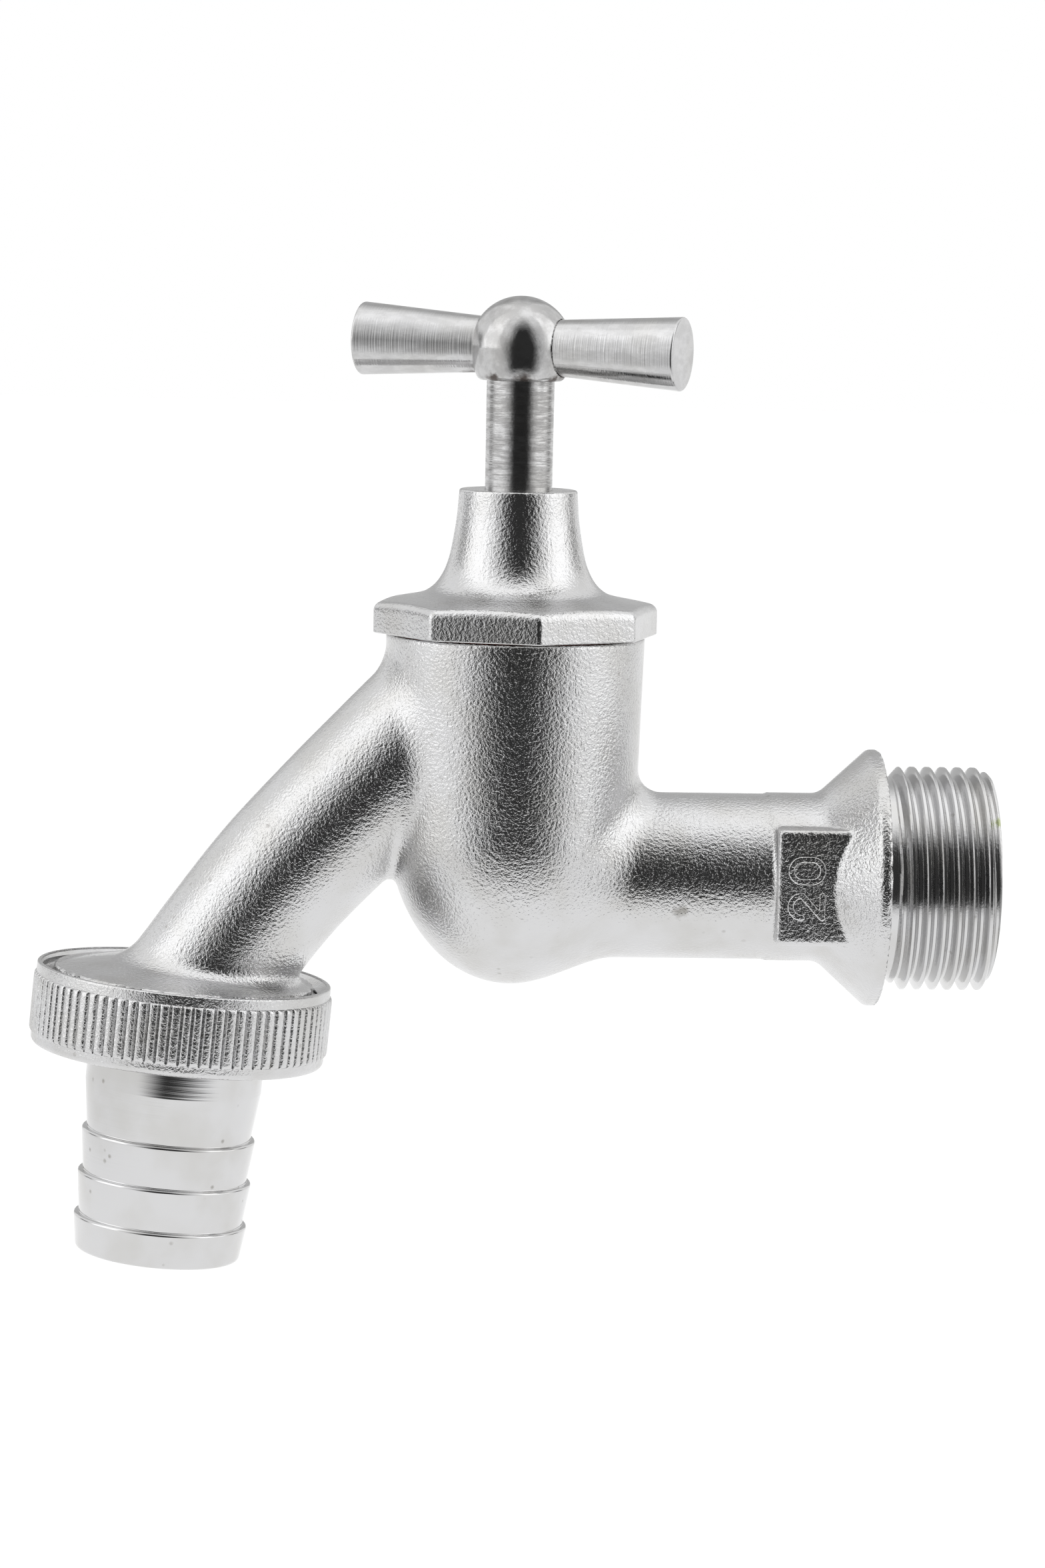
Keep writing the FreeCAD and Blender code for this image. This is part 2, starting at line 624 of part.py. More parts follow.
def handle_hub():
    half = HUB_R / math.sqrt(2)
    ball = placed(turned([
        (0, HUB_BOTTOM), (4.8, HUB_BOTTOM), (5.3, HUB_BOTTOM + 0.6), (5.47, HUB_BOTTOM + 1.2),
        (HUB_R, BALL_Z), (half, BALL_Z + half, ARC), (0, BALL_Z + HUB_R),
    ]).cut(cylinder(SPIGOT_R, HUB_BOTTOM - 1, SPIGOT_TOP)), STEM)
    cutters = [placed(cylinder(CROSS_STUD_R, -HUB_R, HUB_R), BAR)]
    for side in (BAR, BAR.multiply(TURN_ROUND)):
        cutters.append(placed(cylinder(ARM_SPIGOT_R, ARM_SPIGOT, HUB_R + 1), side))
        cutters.append(placed(cylinder(ARM_ROOT_R + 0.06, ARM_ROOT, HUB_R + 1), side))
    return ball.cut(cutters)


def handle_arm(side):
    arm = turned([
        (0, ARM_SPIGOT), (ARM_SPIGOT_R, ARM_SPIGOT), (ARM_SPIGOT_R, ARM_ROOT),
        (ARM_ROOT_R, ARM_ROOT), (ARM_END_R, ARM_END - 0.2), (ARM_END_R - 0.2, ARM_END), (0, ARM_END),
    ])
    return placed(arm.cut(cylinder(CROSS_STUD_R, 0, CROSS_STUD_HALF)), side)


def handle_stud():
    return placed(cylinder(CROSS_STUD_R, -CROSS_STUD_HALF, CROSS_STUD_HALF), BAR)


# --- outlet union

def knurled_ring():
    """Shallow convex ridges with narrow V grooves between them."""
    points = []
    step = 2 * math.pi / KNURL_RIDGES
    half_crest = KNURL_CREST_SHARE / 2
    for i in range(KNURL_RIDGES):
        for share, radius in (
            (0.0, KNURL_ROOT_R), (0.5 - half_crest, KNURL_EDGE_R),
            (0.5, KNURL_CREST_R), (0.5 + half_crest, KNURL_EDGE_R),
        ):
            angle = (i + share) * step
            points.append(Vector(radius * math.cos(angle), radius * math.sin(angle), NUT_RIM_H))
    face = Part.Face(Part.makePolygon(points + points[:1]))
    return face.extrude(Vector(0, 0, NUT_KNURL_H - NUT_RIM_H))


def union_nut():
    outside = turned([
        (0, 0), (NUT_RIM_R - 0.25, 0), (NUT_RIM_R, 0.25), (NUT_RIM_R, NUT_KNURL_H),
        (NUT_BAND_R, NUT_KNURL_H + 0.4), (NUT_BAND_R - 0.25, NUT_H - 0.35, ARC),
        (NUT_BAND_R - 0.9, NUT_H), (0, NUT_H),
    ]).fuse(knurled_ring())
    bore_r = nut_bore_r(G_1)
    bore = turned([
        (0, -1), (NUT_RELIEF_R, -1), (NUT_RELIEF_R, 0.2), (bore_r, 1.7), (bore_r, NUT_THREAD_H),
        (NUT_RELIEF_R, NUT_THREAD_H), (NUT_RELIEF_R, NUT_SHOULDER_H),
        (NUT_HOLE_R, NUT_SHOULDER_H), (NUT_HOLE_R, NUT_H + 1), (0, NUT_H + 1),
    ])
    thread = nut_groove(G_1, UNION_THREAD_H - G_1.pitch / 2, NUT_THREAD_H + 0.5)
    return placed(threaded(lambda seam: outside.cut(spun(bore, seam)), thread), OUTLET)


def hose_tail():
    top = OUTLET_END_H + GASKET_H
    outline = [
        (TAIL_BORE_R, top), (TAIL_FLANGE_R, top), (TAIL_FLANGE_R, NUT_SHOULDER_H),
        (TAIL_NECK_R, NUT_SHOULDER_H), (TAIL_NECK_R, TAIL_NECK_H),
    ]
    for i in range(TAIL_BARBS):
        h = TAIL_FIRST_BARB_H + i * TAIL_BARB_PITCH
        outline += [
            (TAIL_ROOT_R, h), (TAIL_BARB_R - 0.25, h), (TAIL_BARB_R - 0.05, h + 0.12, ARC),
            (TAIL_BARB_R, h + 0.4),
        ]
    outline += [
        (TAIL_ROOT_R + 0.15, TAIL_END_H - TAIL_END_ROUND),
        (TAIL_ROOT_R, TAIL_END_H - 0.15, ARC), (TAIL_ROOT_R - 0.5, TAIL_END_H),
        (TAIL_BORE_R + 0.5, TAIL_END_H), (TAIL_BORE_R, TAIL_END_H - 0.5),
    ]
    return placed(turned(outline), OUTLET)


def hose_tail_gasket():
    ring = tube(TAIL_FLANGE_R - 0.2, TAIL_BORE_R + 0.7, OUTLET_END_H, OUTLET_END_H + GASKET_H)
    return placed(ring, OUTLET)


NODES = {
    "valve_body": valve_body(),
    "bonnet": bonnet(),
    "bonnet_gasket": bonnet_gasket(),
    "spindle_o_ring_lower": spindle_o_ring(O_RING_Z[0]),
    "spindle_o_ring_upper": spindle_o_ring(O_RING_Z[1]),
    "spindle": spindle(),
    "handle_hub": handle_hub(),
    "handle_arm_right": handle_arm(BAR),
    "handle_arm_left": handle_arm(BAR.multiply(TURN_ROUND)),
    "handle_stud": handle_stud(),
    "jumper": jumper(),
    "jumper_clip": jumper_clip(),
    "seat_washer": seat_washer(),
    "washer_plate": washer_plate(),
    "washer_nut": washer_nut(),
    "hose_tail": hose_tail(),
    "hose_tail_gasket": hose_tail_gasket(),
    "union_nut": union_nut(),
}

os.makedirs("parts", exist_ok=True)
for name, shape in NODES.items():
    solids = shape.Solids
    if len(solids) != 1 or not shape.isValid():
        raise ValueError(f"{name}: {len(solids)} solids, valid {shape.isValid()}")
    solids[0].exportStep(f"parts/{name}.step")
    print(name, round(shape.Volume, 1))
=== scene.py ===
import json
import math
import random

import bmesh
import bpy
import numpy as np
from mathutils import Matrix, Vector


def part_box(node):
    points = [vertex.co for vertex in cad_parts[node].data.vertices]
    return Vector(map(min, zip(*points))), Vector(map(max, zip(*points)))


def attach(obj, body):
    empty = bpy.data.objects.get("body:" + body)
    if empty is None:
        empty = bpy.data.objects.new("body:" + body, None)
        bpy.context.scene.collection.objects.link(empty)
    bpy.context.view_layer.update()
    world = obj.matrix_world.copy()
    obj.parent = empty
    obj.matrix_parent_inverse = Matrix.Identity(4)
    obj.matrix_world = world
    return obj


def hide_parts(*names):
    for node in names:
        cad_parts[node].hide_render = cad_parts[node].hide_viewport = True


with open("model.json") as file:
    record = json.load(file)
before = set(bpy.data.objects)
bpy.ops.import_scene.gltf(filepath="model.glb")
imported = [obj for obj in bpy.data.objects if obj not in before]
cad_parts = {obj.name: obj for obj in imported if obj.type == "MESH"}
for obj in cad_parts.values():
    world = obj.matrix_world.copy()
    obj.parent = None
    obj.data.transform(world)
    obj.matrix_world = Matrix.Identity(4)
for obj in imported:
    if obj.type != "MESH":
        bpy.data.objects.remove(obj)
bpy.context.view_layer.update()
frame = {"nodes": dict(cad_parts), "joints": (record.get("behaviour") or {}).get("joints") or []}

# Hose bib. Shapes are worked out in millimetres, in the part's own frame, and turned
# into metres when a mesh is made. A piece that is round is built about its own axis,
# with h or z counting along it, and is then placed.
MM = 0.001
FAR = 50.0      # an outline that closes beyond the axis runs out to here

# --- axes and meeting heights, from the frame
JOINTS = {joint["name"]: joint for joint in frame["joints"]}


def corners(node):
    low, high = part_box(node)
    return low / MM, high / MM


def centre(node):
    low, high = corners(node)
    return (low + high) / 2


STEM_X = centre("spindle").x
STEM = Matrix.Translation((STEM_X, 0, 0))
INLET = Matrix.Rotation(math.radians(90), 4, "Y")
OUTLET_DOWN = Vector(JOINTS["union_nut_turn"]["axis"])
OUTLET = Matrix.Translation(Vector(JOINTS["union_nut_turn"]["pos_m"]) / MM) @ Matrix.Rotation(
    math.atan2(OUTLET_DOWN.x, OUTLET_DOWN.z), 4, "Y"
)
HUB_Z = JOINTS["handle_turn"]["pos_m"][2] / MM
INLET_END = corners("valve_body")[1].x
BONNET_TOP = corners("bonnet")[1].z
SKIRT_Z = corners("bonnet")[0].z
GASKET_Z, FLANGE_Z = (corner.z for corner in corners("bonnet_gasket"))
HUB_BOTTOM = corners("handle_hub")[0].z
SPINDLE_BOTTOM, SPINDLE_TOP = (corner.z for corner in corners("spindle"))

# --- threads: crest radius, pitch, depth, floor of the groove, half angle, and the
# height where a groove crosses the angle 0
G_3_4_INLET = (13.22, 1.814, 1.161, 0.303, 27.5, 0.9 - 0.2 * 1.814)
G_3_4_BONNET = (13.22, 1.814, 1.161, 0.303, 27.5, 17.6)
G_1 = (16.62, 2.309, 1.478, 0.386, 27.5, -0.3)
TR_12_3 = (6.0, 3.0, 1.6, 1.08, 15.0, 15.5)
THREAD_PLAY = 0.15
FLANK_PLAY = 0.06

# --- valve body
PIPE_R = 9.8
INSERT_X = -13.3
INSERT_R = 9.95
COLLAR_R = 15.2
CHAMBER_TOP = FLANGE_Z - 0.15
CHAMBER_TOP_R = 15.2
CHAMBER_R = 14.6
DOME_Z = 6.0
DOME_DEPTH = 19.05
WALL = 2.5
PARTITION = (7.6, 9.8)
SEAT_Z = 11.0
PORT_TOP = 18.6
SPOUT_STATIONS = (
    (-50.1, 19.9, 45, 9.43),
    (-56.9, 13.2, 45, 9.28),
    (-63.5, 6.6, 46, 9.05),
    (-69.1, 0.7, 48, 8.88),
    (-75.0, -6.7, 54, 8.80),
    (-78.3, -11.3, 56, 8.85),
    (-82.05, -16.55, 56, 8.95),
)
SPOUT_WALL = 2.2
BARREL_BLEND = 3.0
SPOUT_BLEND = 1.6
FLANGE_BLEND = 1.5
FLANGE_R = 15.3
FLANGE_EDGE_H = 0.2
FLANGE_APEX_H = -2.9
FLANGE_H = 0.8
OUTLET_BORE_R = 8.2
OUTLET_END_H = 5.4
PAD_HALF = (4.7, 10.7, 6.8)
PAD_X = -8.2
NUMERAL_X = -9.5
NUMERAL_HALF = (1.3, 1.85)
NUMERAL_STEP = 4.2
NUMERAL_STROKE = 0.75

# --- handle
BAR_TURN = -23.0
BAR_DROOP = 91.2
HUB_R = 5.95
BALL_Z = corners("handle_hub")[1].z - HUB_R
BAR = (
    Matrix.Translation((STEM_X, 0, HUB_Z))
    @ Matrix.Rotation(math.radians(BAR_TURN), 4, "Z")
    @ Matrix.Rotation(math.radians(BAR_DROOP), 4, "Y")
)
ARM_ROOT = 4.3
ARM_ROOT_R = 3.25
ARM_END = 19.75
ARM_END_R = 4.3

# --- bonnet
OCTAGON_HALF = 15.65
OCTAGON_TURN = 5.75
OCTAGON_ROUND = 0.9
TOP_CONE = (12.2, 32.75, 0.1846)    # inner radius, height there, slope outwards

# --- union nut
NUT_RIDGES = 84


# --- outlines

def rounded(outline, steps=5):
    """Points of an outline. An entry's third value is the radius of its corner."""
    points = []
    count = len(outline)
    for i, entry in enumerate(outline):
        here = np.array(entry[:2], float)
        if len(entry) == 2:
            points.append(here)
            continue
        before = np.array(outline[i - 1][:2], float) - here
        after = np.array(outline[(i + 1) % count][:2], float) - here
        before /= np.linalg.norm(before)
        after /= np.linalg.norm(after)
        half = math.acos(np.clip(before @ after, -1, 1)) / 2
        middle = before + after
        middle /= np.linalg.norm(middle)
        arc_centre = here + middle * entry[2] / math.sin(half)
        start = here + before * entry[2] / math.tan(half) - arc_centre
        end = here + after * entry[2] / math.tan(half) - arc_centre
        sweep = math.pi - 2 * half
        for k in range(steps + 1):
            a = math.sin(sweep * (1 - k / steps)) / math.sin(sweep)
            b = math.sin(sweep * k / steps) / math.sin(sweep)
            points.append(arc_centre + a * start + b * end)
    return points


def tool_marked(points, feed, depth, seed):
    """Divide the long runs of an outline; a lathe tool leaves each new point a touch
    in or out."""
    chance = random.Random(seed)
    marked = []
    for here, after in zip(points, points[1:]):
        marked.append(here)
        run = after - here
        length = max(np.linalg.norm(run), 1e-9)
        across = np.array((-run[1], run[0])) / length
        count = int(length / feed)
        for k in range(1, count):
            marked.append(here + run * k / count + across * chance.uniform(-depth, depth))
    marked.append(points[-1])
    return marked


def smooth_curve(points, steps):
    """Catmull-Rom curve through an outline's points."""
    points = [np.array(point, float) for point in points]
    ends = [2 * points[0] - points[1], *points, 2 * points[-1] - points[-2]]
    curve = []
    for a, b, c, d in zip(ends, ends[1:], ends[2:], ends[3:]):
        for k in range(steps):
            t = k / steps
            bend = (2 * a - 5 * b + 4 * c - d) * t**2 + (3 * b - a - 3 * c + d) * t**3
            curve.append(0.5 * (2 * b + (c - a) * t + bend))
    curve.append(points[-1])
    return curve


# --- meshes about an axis

def even_angles(count):
    return np.linspace(0, 2 * math.pi, count + 1)


def thread_rows(thread, low, high, blank, inside=False, falling=False):
    """Rows that follow a helical thread between two heights. Each angle has the same
    number of rows; those past the ends lie on them, and are merged later."""
    crest_r, pitch, depth, floor, half_angle, start = thread
    flank = depth * math.tan(math.radians(half_angle))
    crest = pitch / 2 - floor / 2 - flank
    offsets = np.concatenate((
        floor * np.array([0, 0.25, 0.5]),
        floor / 2 + flank * np.array([0.14, 0.38, 0.62, 0.86]),
        floor / 2 + flank + crest * np.array([0, 0.5, 1]),
    ))
    offsets = np.concatenate((-offsets[:0:-1], offsets))[:-1]
    first = math.floor((low - start) / pitch) - 2
    last = math.ceil((high - start) / pitch) + 2
    heights = (start + np.arange(first, last)[:, None] * pitch + offsets[None, :]).ravel()

    def rows(angles):
        turns = angles[:, None] / (2 * math.pi)
        z = np.clip(heights[None, :] + pitch * turns, low, high)
        phase = (z - start) / pitch - turns
        away = np.abs(phase - np.round(phase)) * pitch
        rise = np.clip((away - floor / 2 + (FLANK_PLAY if inside else 0)) / flank, 0, 1)
        rise = 0.5 * rise + 0.5 * rise**2 * (3 - 2 * rise)
        if inside:
            r = np.maximum(crest_r + THREAD_PLAY - depth * (1 - rise), blank(z))
        else:
            r = np.minimum(crest_r - depth * (1 - rise), blank(z))
        block = np.stack((r, z), axis=2)
        return block[:, ::-1] if falling else block

    return rows


def column_mesh(angles, parts):
    """Solid about the local Z axis: at each angle the same loop of rows. A part is an
    outline that holds at every angle, or a function of the angles."""
    blocks = []
    for part in parts:
        if callable(part):
            blocks.append(part(angles))
        else:
            blocks.append(np.repeat(np.array(part, float)[None, :, :], len(angles), axis=0))
    loops = np.concatenate(blocks, axis=1)
    r, z = loops[:, :, 0], loops[:, :, 1]
    points = np.stack((r * np.cos(angles)[:, None], r * np.sin(angles)[:, None], z), axis=2)
    index = np.arange(r.size).reshape(r.shape)
    following = np.roll(index, -1, axis=1)
    faces = np.stack((index[:-1], index[1:], following[1:], following[:-1]), axis=2)
    return points.reshape(-1, 3), faces.reshape(-1, 4)


# --- solids from distance fields, all negative inside

def polygon_field(u, v, points):
    """Signed distance to a closed outline."""
    best = np.full(u.shape, 1e9)
    sign = np.ones(u.shape)
    for (au, av), (bu, bv) in zip(points, [*points[1:], points[0]]):
        eu, ev = bu - au, bv - av
        pu, pv = u - au, v - av
        t = np.clip((pu * eu + pv * ev) / (eu * eu + ev * ev), 0, 1)
        best = np.minimum(best, (pu - t * eu) ** 2 + (pv - t * ev) ** 2)
        above, below, left = v >= av, v < bv, eu * pv > ev * pu
        sign = np.where((above & below & left) | ~(above | below | left), -sign, sign)
    return sign * np.sqrt(best)


def ellipsoid_field(r, z, half_r, half_z):
    q = np.hypot(r / half_r, z / half_z)
    return q * (q - 1) / (np.hypot(r / half_r**2, z / half_z**2) + 1e-9)


def box_field(x, y, z, half, radius):
    """Box about the origin with rounded edges."""
    q = [np.abs(a) - h + radius for a, h in zip((x, y, z), half)]
    outside = np.sqrt(sum(np.maximum(a, 0) ** 2 for a in q))
    return outside + np.minimum(np.maximum(np.maximum(q[0], q[1]), q[2]), 0) - radius


def joined(a, b, radius):
    """Union with a fillet of that radius."""
    fillet = np.hypot(np.maximum(radius - a, 0), np.maximum(radius - b, 0))
    return np.maximum(radius, np.minimum(a, b)) - fillet


def common(a, b, radius):
    """Intersection with its edge rounded."""
    return -joined(-a, -b, radius)


def about(x, y, z, place):
    """Radius and height of points about a placed axis."""
    back = np.array(place.inverted())
    u, v, h = (back[i, 0] * x + back[i, 1] * y + back[i, 2] * z + back[i, 3] for i in range(3))
    return np.hypot(u, v), h


def grid_lines(low, high, step, *fine):
    """Grid lines from low to high, closer together in each (from, to, step) zone."""
    marks = [low]
    while marks[-1] < high:
        size = step
        for zone_low, zone_high, zone_step in fine:
            if zone_low <= marks[-1] < zone_high:
                size = zone_step
        marks.append(marks[-1] + size)
    return np.array(marks)


def untangled(values):
    """Fills one corner of each grid face with opposite corners alike, where sheets would touch."""
    for _ in range(4):
        for u, v in ((0, 1), (0, 2), (1, 2)):
            corner_values = []
            for du, dv in ((0, 0), (1, 0), (1, 1), (0, 1)):
                cut = [slice(None)] * 3
                cut[u] = slice(du, values.shape[u] - 1 + du)
                cut[v] = slice(dv, values.shape[v] - 1 + dv)
                corner_values.append(values[tuple(cut)])
            a, b, c, d = (level < 0 for level in corner_values)
            crossed = (a == c) & (b == d) & (a != b)
            corner_values[0][crossed & b] = -0.001
            corner_values[1][crossed & a] = -0.001
    return values


def net(field, lines):
    """Surface net of a field over a grid, then drawn onto the field's zero."""
    values = untangled(field(*np.meshgrid(*lines, indexing="ij")))
    inside = values < 0
    cells = np.array(values.shape) - 1
    cell_lists, crossing_lists, quads = [], [], []
    for axis in range(3):
        low = [slice(None)] * 3
        high = [slice(None)] * 3
        low[axis], high[axis] = slice(0, -1), slice(1, None)
        others = [a for a in range(3) if a != axis]
        here = np.argwhere(inside[tuple(low)] != inside[tuple(high)])
        here = here[np.all((here[:, others] > 0) & (here[:, others] < cells[others]), axis=1)]
        beyond = here.copy()
        beyond[:, axis] += 1
        level, next_level = values[tuple(here.T)], values[tuple(beyond.T)]
        crossing = np.stack([lines[a][here[:, a]] for a in range(3)], axis=1)
        gap = lines[axis][beyond[:, axis]] - crossing[:, axis]
        crossing[:, axis] += gap * level / (level - next_level)
        ring = []
        for shift in ((1, 1), (0, 1), (0, 0), (1, 0)):
            cell = here.copy()
            cell[:, others] -= shift
            ring.append(np.ravel_multi_index(cell.T, cells))
            crossing_lists.append(crossing)
        cell_lists += ring
        quads.append(np.stack(ring, axis=1))
    keys, index = np.unique(np.concatenate(cell_lists), return_inverse=True)
    crossings = np.concatenate(crossing_lists)
    share = np.bincount(index)
    points = np.stack([np.bincount(index, crossings[:, a]) / share for a in range(3)], axis=1)
    reach = 0.02
    for _ in range(3):
        level = field(*points.T)
        slope = np.zeros_like(points)
        for a in range(3):
            step = reach * np.eye(3)[a]
            slope[:, a] = (field(*(points + step).T) - field(*(points - step).T)) / (2 * reach)
        steep = np.maximum((slope**2).sum(axis=1), 0.1)
        points -= np.clip(level / steep, -0.3, 0.3)[:, None] * slope
    return points, np.searchsorted(keys, np.concatenate(quads))


def value_noise(points, size, seed):
    """Smooth noise from -1 to 1 in space, its grains about one size across."""
    cell = np.floor(points / size).astype(np.int64)
    part = points / size - cell
    part = part * part * (3 - 2 * part)
    total = np.zeros(len(points))
    for corner in range(8):
        step = np.array((corner & 1, corner >> 1 & 1, corner >> 2 & 1))
        x, y, z = (cell + step).T
        h = x * 73856093 ^ y * 19349663 ^ z * 83492791 ^ seed * 2654435761
        h = ((h ^ (h >> 13)) * 1274126177) & 0xFFFFFF
        h = ((h ^ (h >> 11)) * 668265263) & 0xFFFFFF
        total += np.prod(np.where(step, part, 1 - part), axis=1) * (h / 0x7FFFFF - 1)
    return total


def cast_skin(size, depth):
    """Uneven skin of a casting: shallow waves of two sizes."""
    def height(points):
        return depth * (value_noise(points, size, 3) + 0.6 * value_noise(points, size / 1.9, 11))
    return height


def piece(name, body, node, shape, place, material, skin=None, sharp=38):
    """Finish a piece: merge what coincides, face outwards, roughen and place it."""
    points, faces = shape
    mesh = bpy.data.meshes.new(name)
    mesh.from_pydata(points.tolist(), [], faces.tolist())
    edit = bmesh.new()
    edit.from_mesh(mesh)
    bmesh.ops.remove_doubles(edit, verts=edit.verts, dist=2e-5)
    bmesh.ops.dissolve_degenerate(edit, edges=edit.edges, dist=2e-5)
    loose = [edge for edge in edit.edges if not edge.link_faces]
    bmesh.ops.delete(edit, geom=loose, context="EDGES")
    bmesh.ops.recalc_face_normals(edit, faces=edit.faces)
    edit.to_mesh(mesh)
    edit.free()
    if skin:
        at = np.zeros(len(mesh.vertices) * 3)
        out = np.zeros(len(mesh.vertices) * 3)
        mesh.vertices.foreach_get("co", at)
        mesh.vertex_normals.foreach_get("vector", out)
        at, out = at.reshape(-1, 3), out.reshape(-1, 3)
        mesh.vertices.foreach_set("co", (at + out * skin(at)[:, None]).ravel())
    mesh.transform(Matrix.Scale(MM, 4) @ place)
    mesh.shade_smooth()
    mesh.set_sharp_from_angle(angle=math.radians(sharp))
    mesh.materials.append(material)
    made = bpy.data.objects.new(name, mesh)
    bpy.context.scene.collection.objects.link(made)
    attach(made, body)
    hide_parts(node)
    return made


# --- valve body

def spout_line():
    """Centre line of the spout with its radii, at even steps, carried on at both ends."""
    line = []
    for (x0, z0, a0, _), (x1, z1, a1, _) in zip(SPOUT_STATIONS, SPOUT_STATIONS[1:]):
        p0, p1 = np.array((x0, z0)), np.array((x1, z1))
        chord = np.linalg.norm(p1 - p0)
        d0 = -chord * np.array((math.cos(math.radians(a0)), math.sin(math.radians(a0))))
        d1 = -chord * np.array((math.cos(math.radians(a1)), math.sin(math.radians(a1))))
        for t in np.linspace(0, 1, 24, endpoint=False):
            line.append(
                (2 * t**3 - 3 * t**2 + 1) * p0 + (t**3 - 2 * t**2 + t) * d0
                + (3 * t**2 - 2 * t**3) * p1 + (t**3 - t**2) * d1
            )
    line.append(p1)
    first, last = line[0] - line[1], line[-1] - line[-2]
    line.insert(0, line[0] + FAR * first / np.linalg.norm(first))
    line.append(line[-1] + FAR * last / np.linalg.norm(last))
    line = np.array(line)
    run = np.concatenate(([0], np.cumsum(np.linalg.norm(np.diff(line, axis=0), axis=1))))
    tangent = np.gradient(line, run, axis=0)
    tangent /= np.linalg.norm(tangent, axis=1)[:, None]
    stops = run[1:-1:24]
    curve = np.polyfit(stops, [station[3] for station in SPOUT_STATIONS], 3)
    radius = np.polyval(curve, np.clip(run, stops[0], stops[-1]))
    return run, line, tangent, radius


SPOUT_RUN, SPOUT_LINE, SPOUT_TANGENT, SPOUT_RADIUS = spout_line()


def spout_field(x, y, z, thinner=0.0):
    overall = SPOUT_LINE[-1] - SPOUT_LINE[0]
    s = np.interp(x * overall[0] + z * overall[1], SPOUT_LINE @ overall, SPOUT_RUN)
    for _ in range(3):
        dx = x - np.interp(s, SPOUT_RUN, SPOUT_LINE[:, 0])
        dz = z - np.interp(s, SPOUT_RUN, SPOUT_LINE[:, 1])
        tx = np.interp(s, SPOUT_RUN, SPOUT_TANGENT[:, 0])
        tz = np.interp(s, SPOUT_RUN, SPOUT_TANGENT[:, 1])
        s = s + dx * tx + dz * tz
    dx = x - np.interp(s, SPOUT_RUN, SPOUT_LINE[:, 0])
    dz = z - np.interp(s, SPOUT_RUN, SPOUT_LINE[:, 1])
    radius = np.interp(s, SPOUT_RUN, SPOUT_RADIUS) - thinner
    return np.maximum(np.sqrt(dx**2 + dz**2 + y**2) - radius, SPOUT_RUN[1] - s)


FLANGE_SLOPE = (FLANGE_EDGE_H - FLANGE_APEX_H) / FLANGE_R
INLET_OUTLINE = rounded([
    (-FAR, STEM_X), (PIPE_R, STEM_X), (PIPE_R, INSERT_X - 0.12), (INSERT_R, INSERT_X + 0.12),
    (INSERT_R, -6.99, 2.4), (COLLAR_R, -1.21, 0.9), (COLLAR_R, 0, 0.25), (-FAR, 0),
])
FLANGE_OUTLINE = rounded([
    (-FAR, FLANGE_APEX_H - FAR * FLANGE_SLOPE), (FLANGE_R, FLANGE_EDGE_H, 0.25),
    (FLANGE_R, FLANGE_H + 1), (-FAR, FLANGE_H + 1),
])
UPPER_CAVITY = [
    (-FAR, SEAT_Z), (7.2, SEAT_Z), (7.2, PARTITION[1]), (11.9, PARTITION[1]),
    (11.9, PORT_TOP), (13.4, PORT_TOP), (13.4, GASKET_Z), (14.35, GASKET_Z),
    (14.35, FLANGE_Z + 20), (-FAR, FLANGE_Z + 20),
]
INLET_CAVITY = [(-FAR, STEM_X), (7.5, STEM_X), (7.5, -5), (9.5, -3), (9.5, 20), (-FAR, 20)]


def casting_field(x, y, z):
    r_stem = np.hypot(x - STEM_X, y)
    r_inlet = np.hypot(y, z)
    r_outlet, h = about(x, y, z, OUTLET)
    flare = (CHAMBER_TOP_R - CHAMBER_R) / (CHAMBER_TOP - DOME_Z)
    barrel = r_stem - CHAMBER_R - flare * (z - DOME_Z)
    dome = ellipsoid_field(r_stem, z - DOME_Z, CHAMBER_R, DOME_DEPTH)
    chamber = common(np.where(z < DOME_Z, dome, barrel), z - CHAMBER_TOP, 0.35)
    body = joined(chamber, polygon_field(r_inlet, x, INLET_OUTLINE), BARREL_BLEND)
    body = joined(body, spout_field(x, y, z), SPOUT_BLEND)
    body = joined(body, polygon_field(r_outlet, h, FLANGE_OUTLINE), FLANGE_BLEND)
    body = np.maximum(body, h - FLANGE_H)
    body = joined(body, box_field(x - PAD_X, y, z, PAD_HALF, 0.5), 0.3)

    lower = np.where(
        z < DOME_Z,
        ellipsoid_field(r_stem, z - DOME_Z, CHAMBER_R - WALL, DOME_DEPTH - WALL),
        np.maximum(r_stem - CHAMBER_R + WALL, z - PARTITION[0]),
    )
    port = np.where((z > PARTITION[1]) & (z < PORT_TOP), -FAR, CHAMBER_R - r_stem)
    cavities = (
        lower,
        np.maximum(r_stem - 6.0, np.abs(z - SEAT_Z + 1.5) - 2.5),
        np.maximum(spout_field(x, y, z, SPOUT_WALL), port),
        np.maximum(r_outlet - OUTLET_BORE_R, 1.0 - h),
        polygon_field(r_stem, z, UPPER_CAVITY),
        polygon_field(r_inlet, x, INLET_CAVITY),
    )
    for cavity in cavities:
        body = np.maximum(body, -cavity)
    return body


def casting():
    return net(casting_field, (
        grid_lines(-97.9, 0.5, 0.49, (-14.2, 0.6, 0.33)),
        grid_lines(-16.13, 16.1, 0.49, (-11.2, -9.9, 0.27), (9.9, 11.2, 0.27)),
        grid_lines(-16.11, 28.9, 0.49, (27.3, 29, 0.21)),
    ))


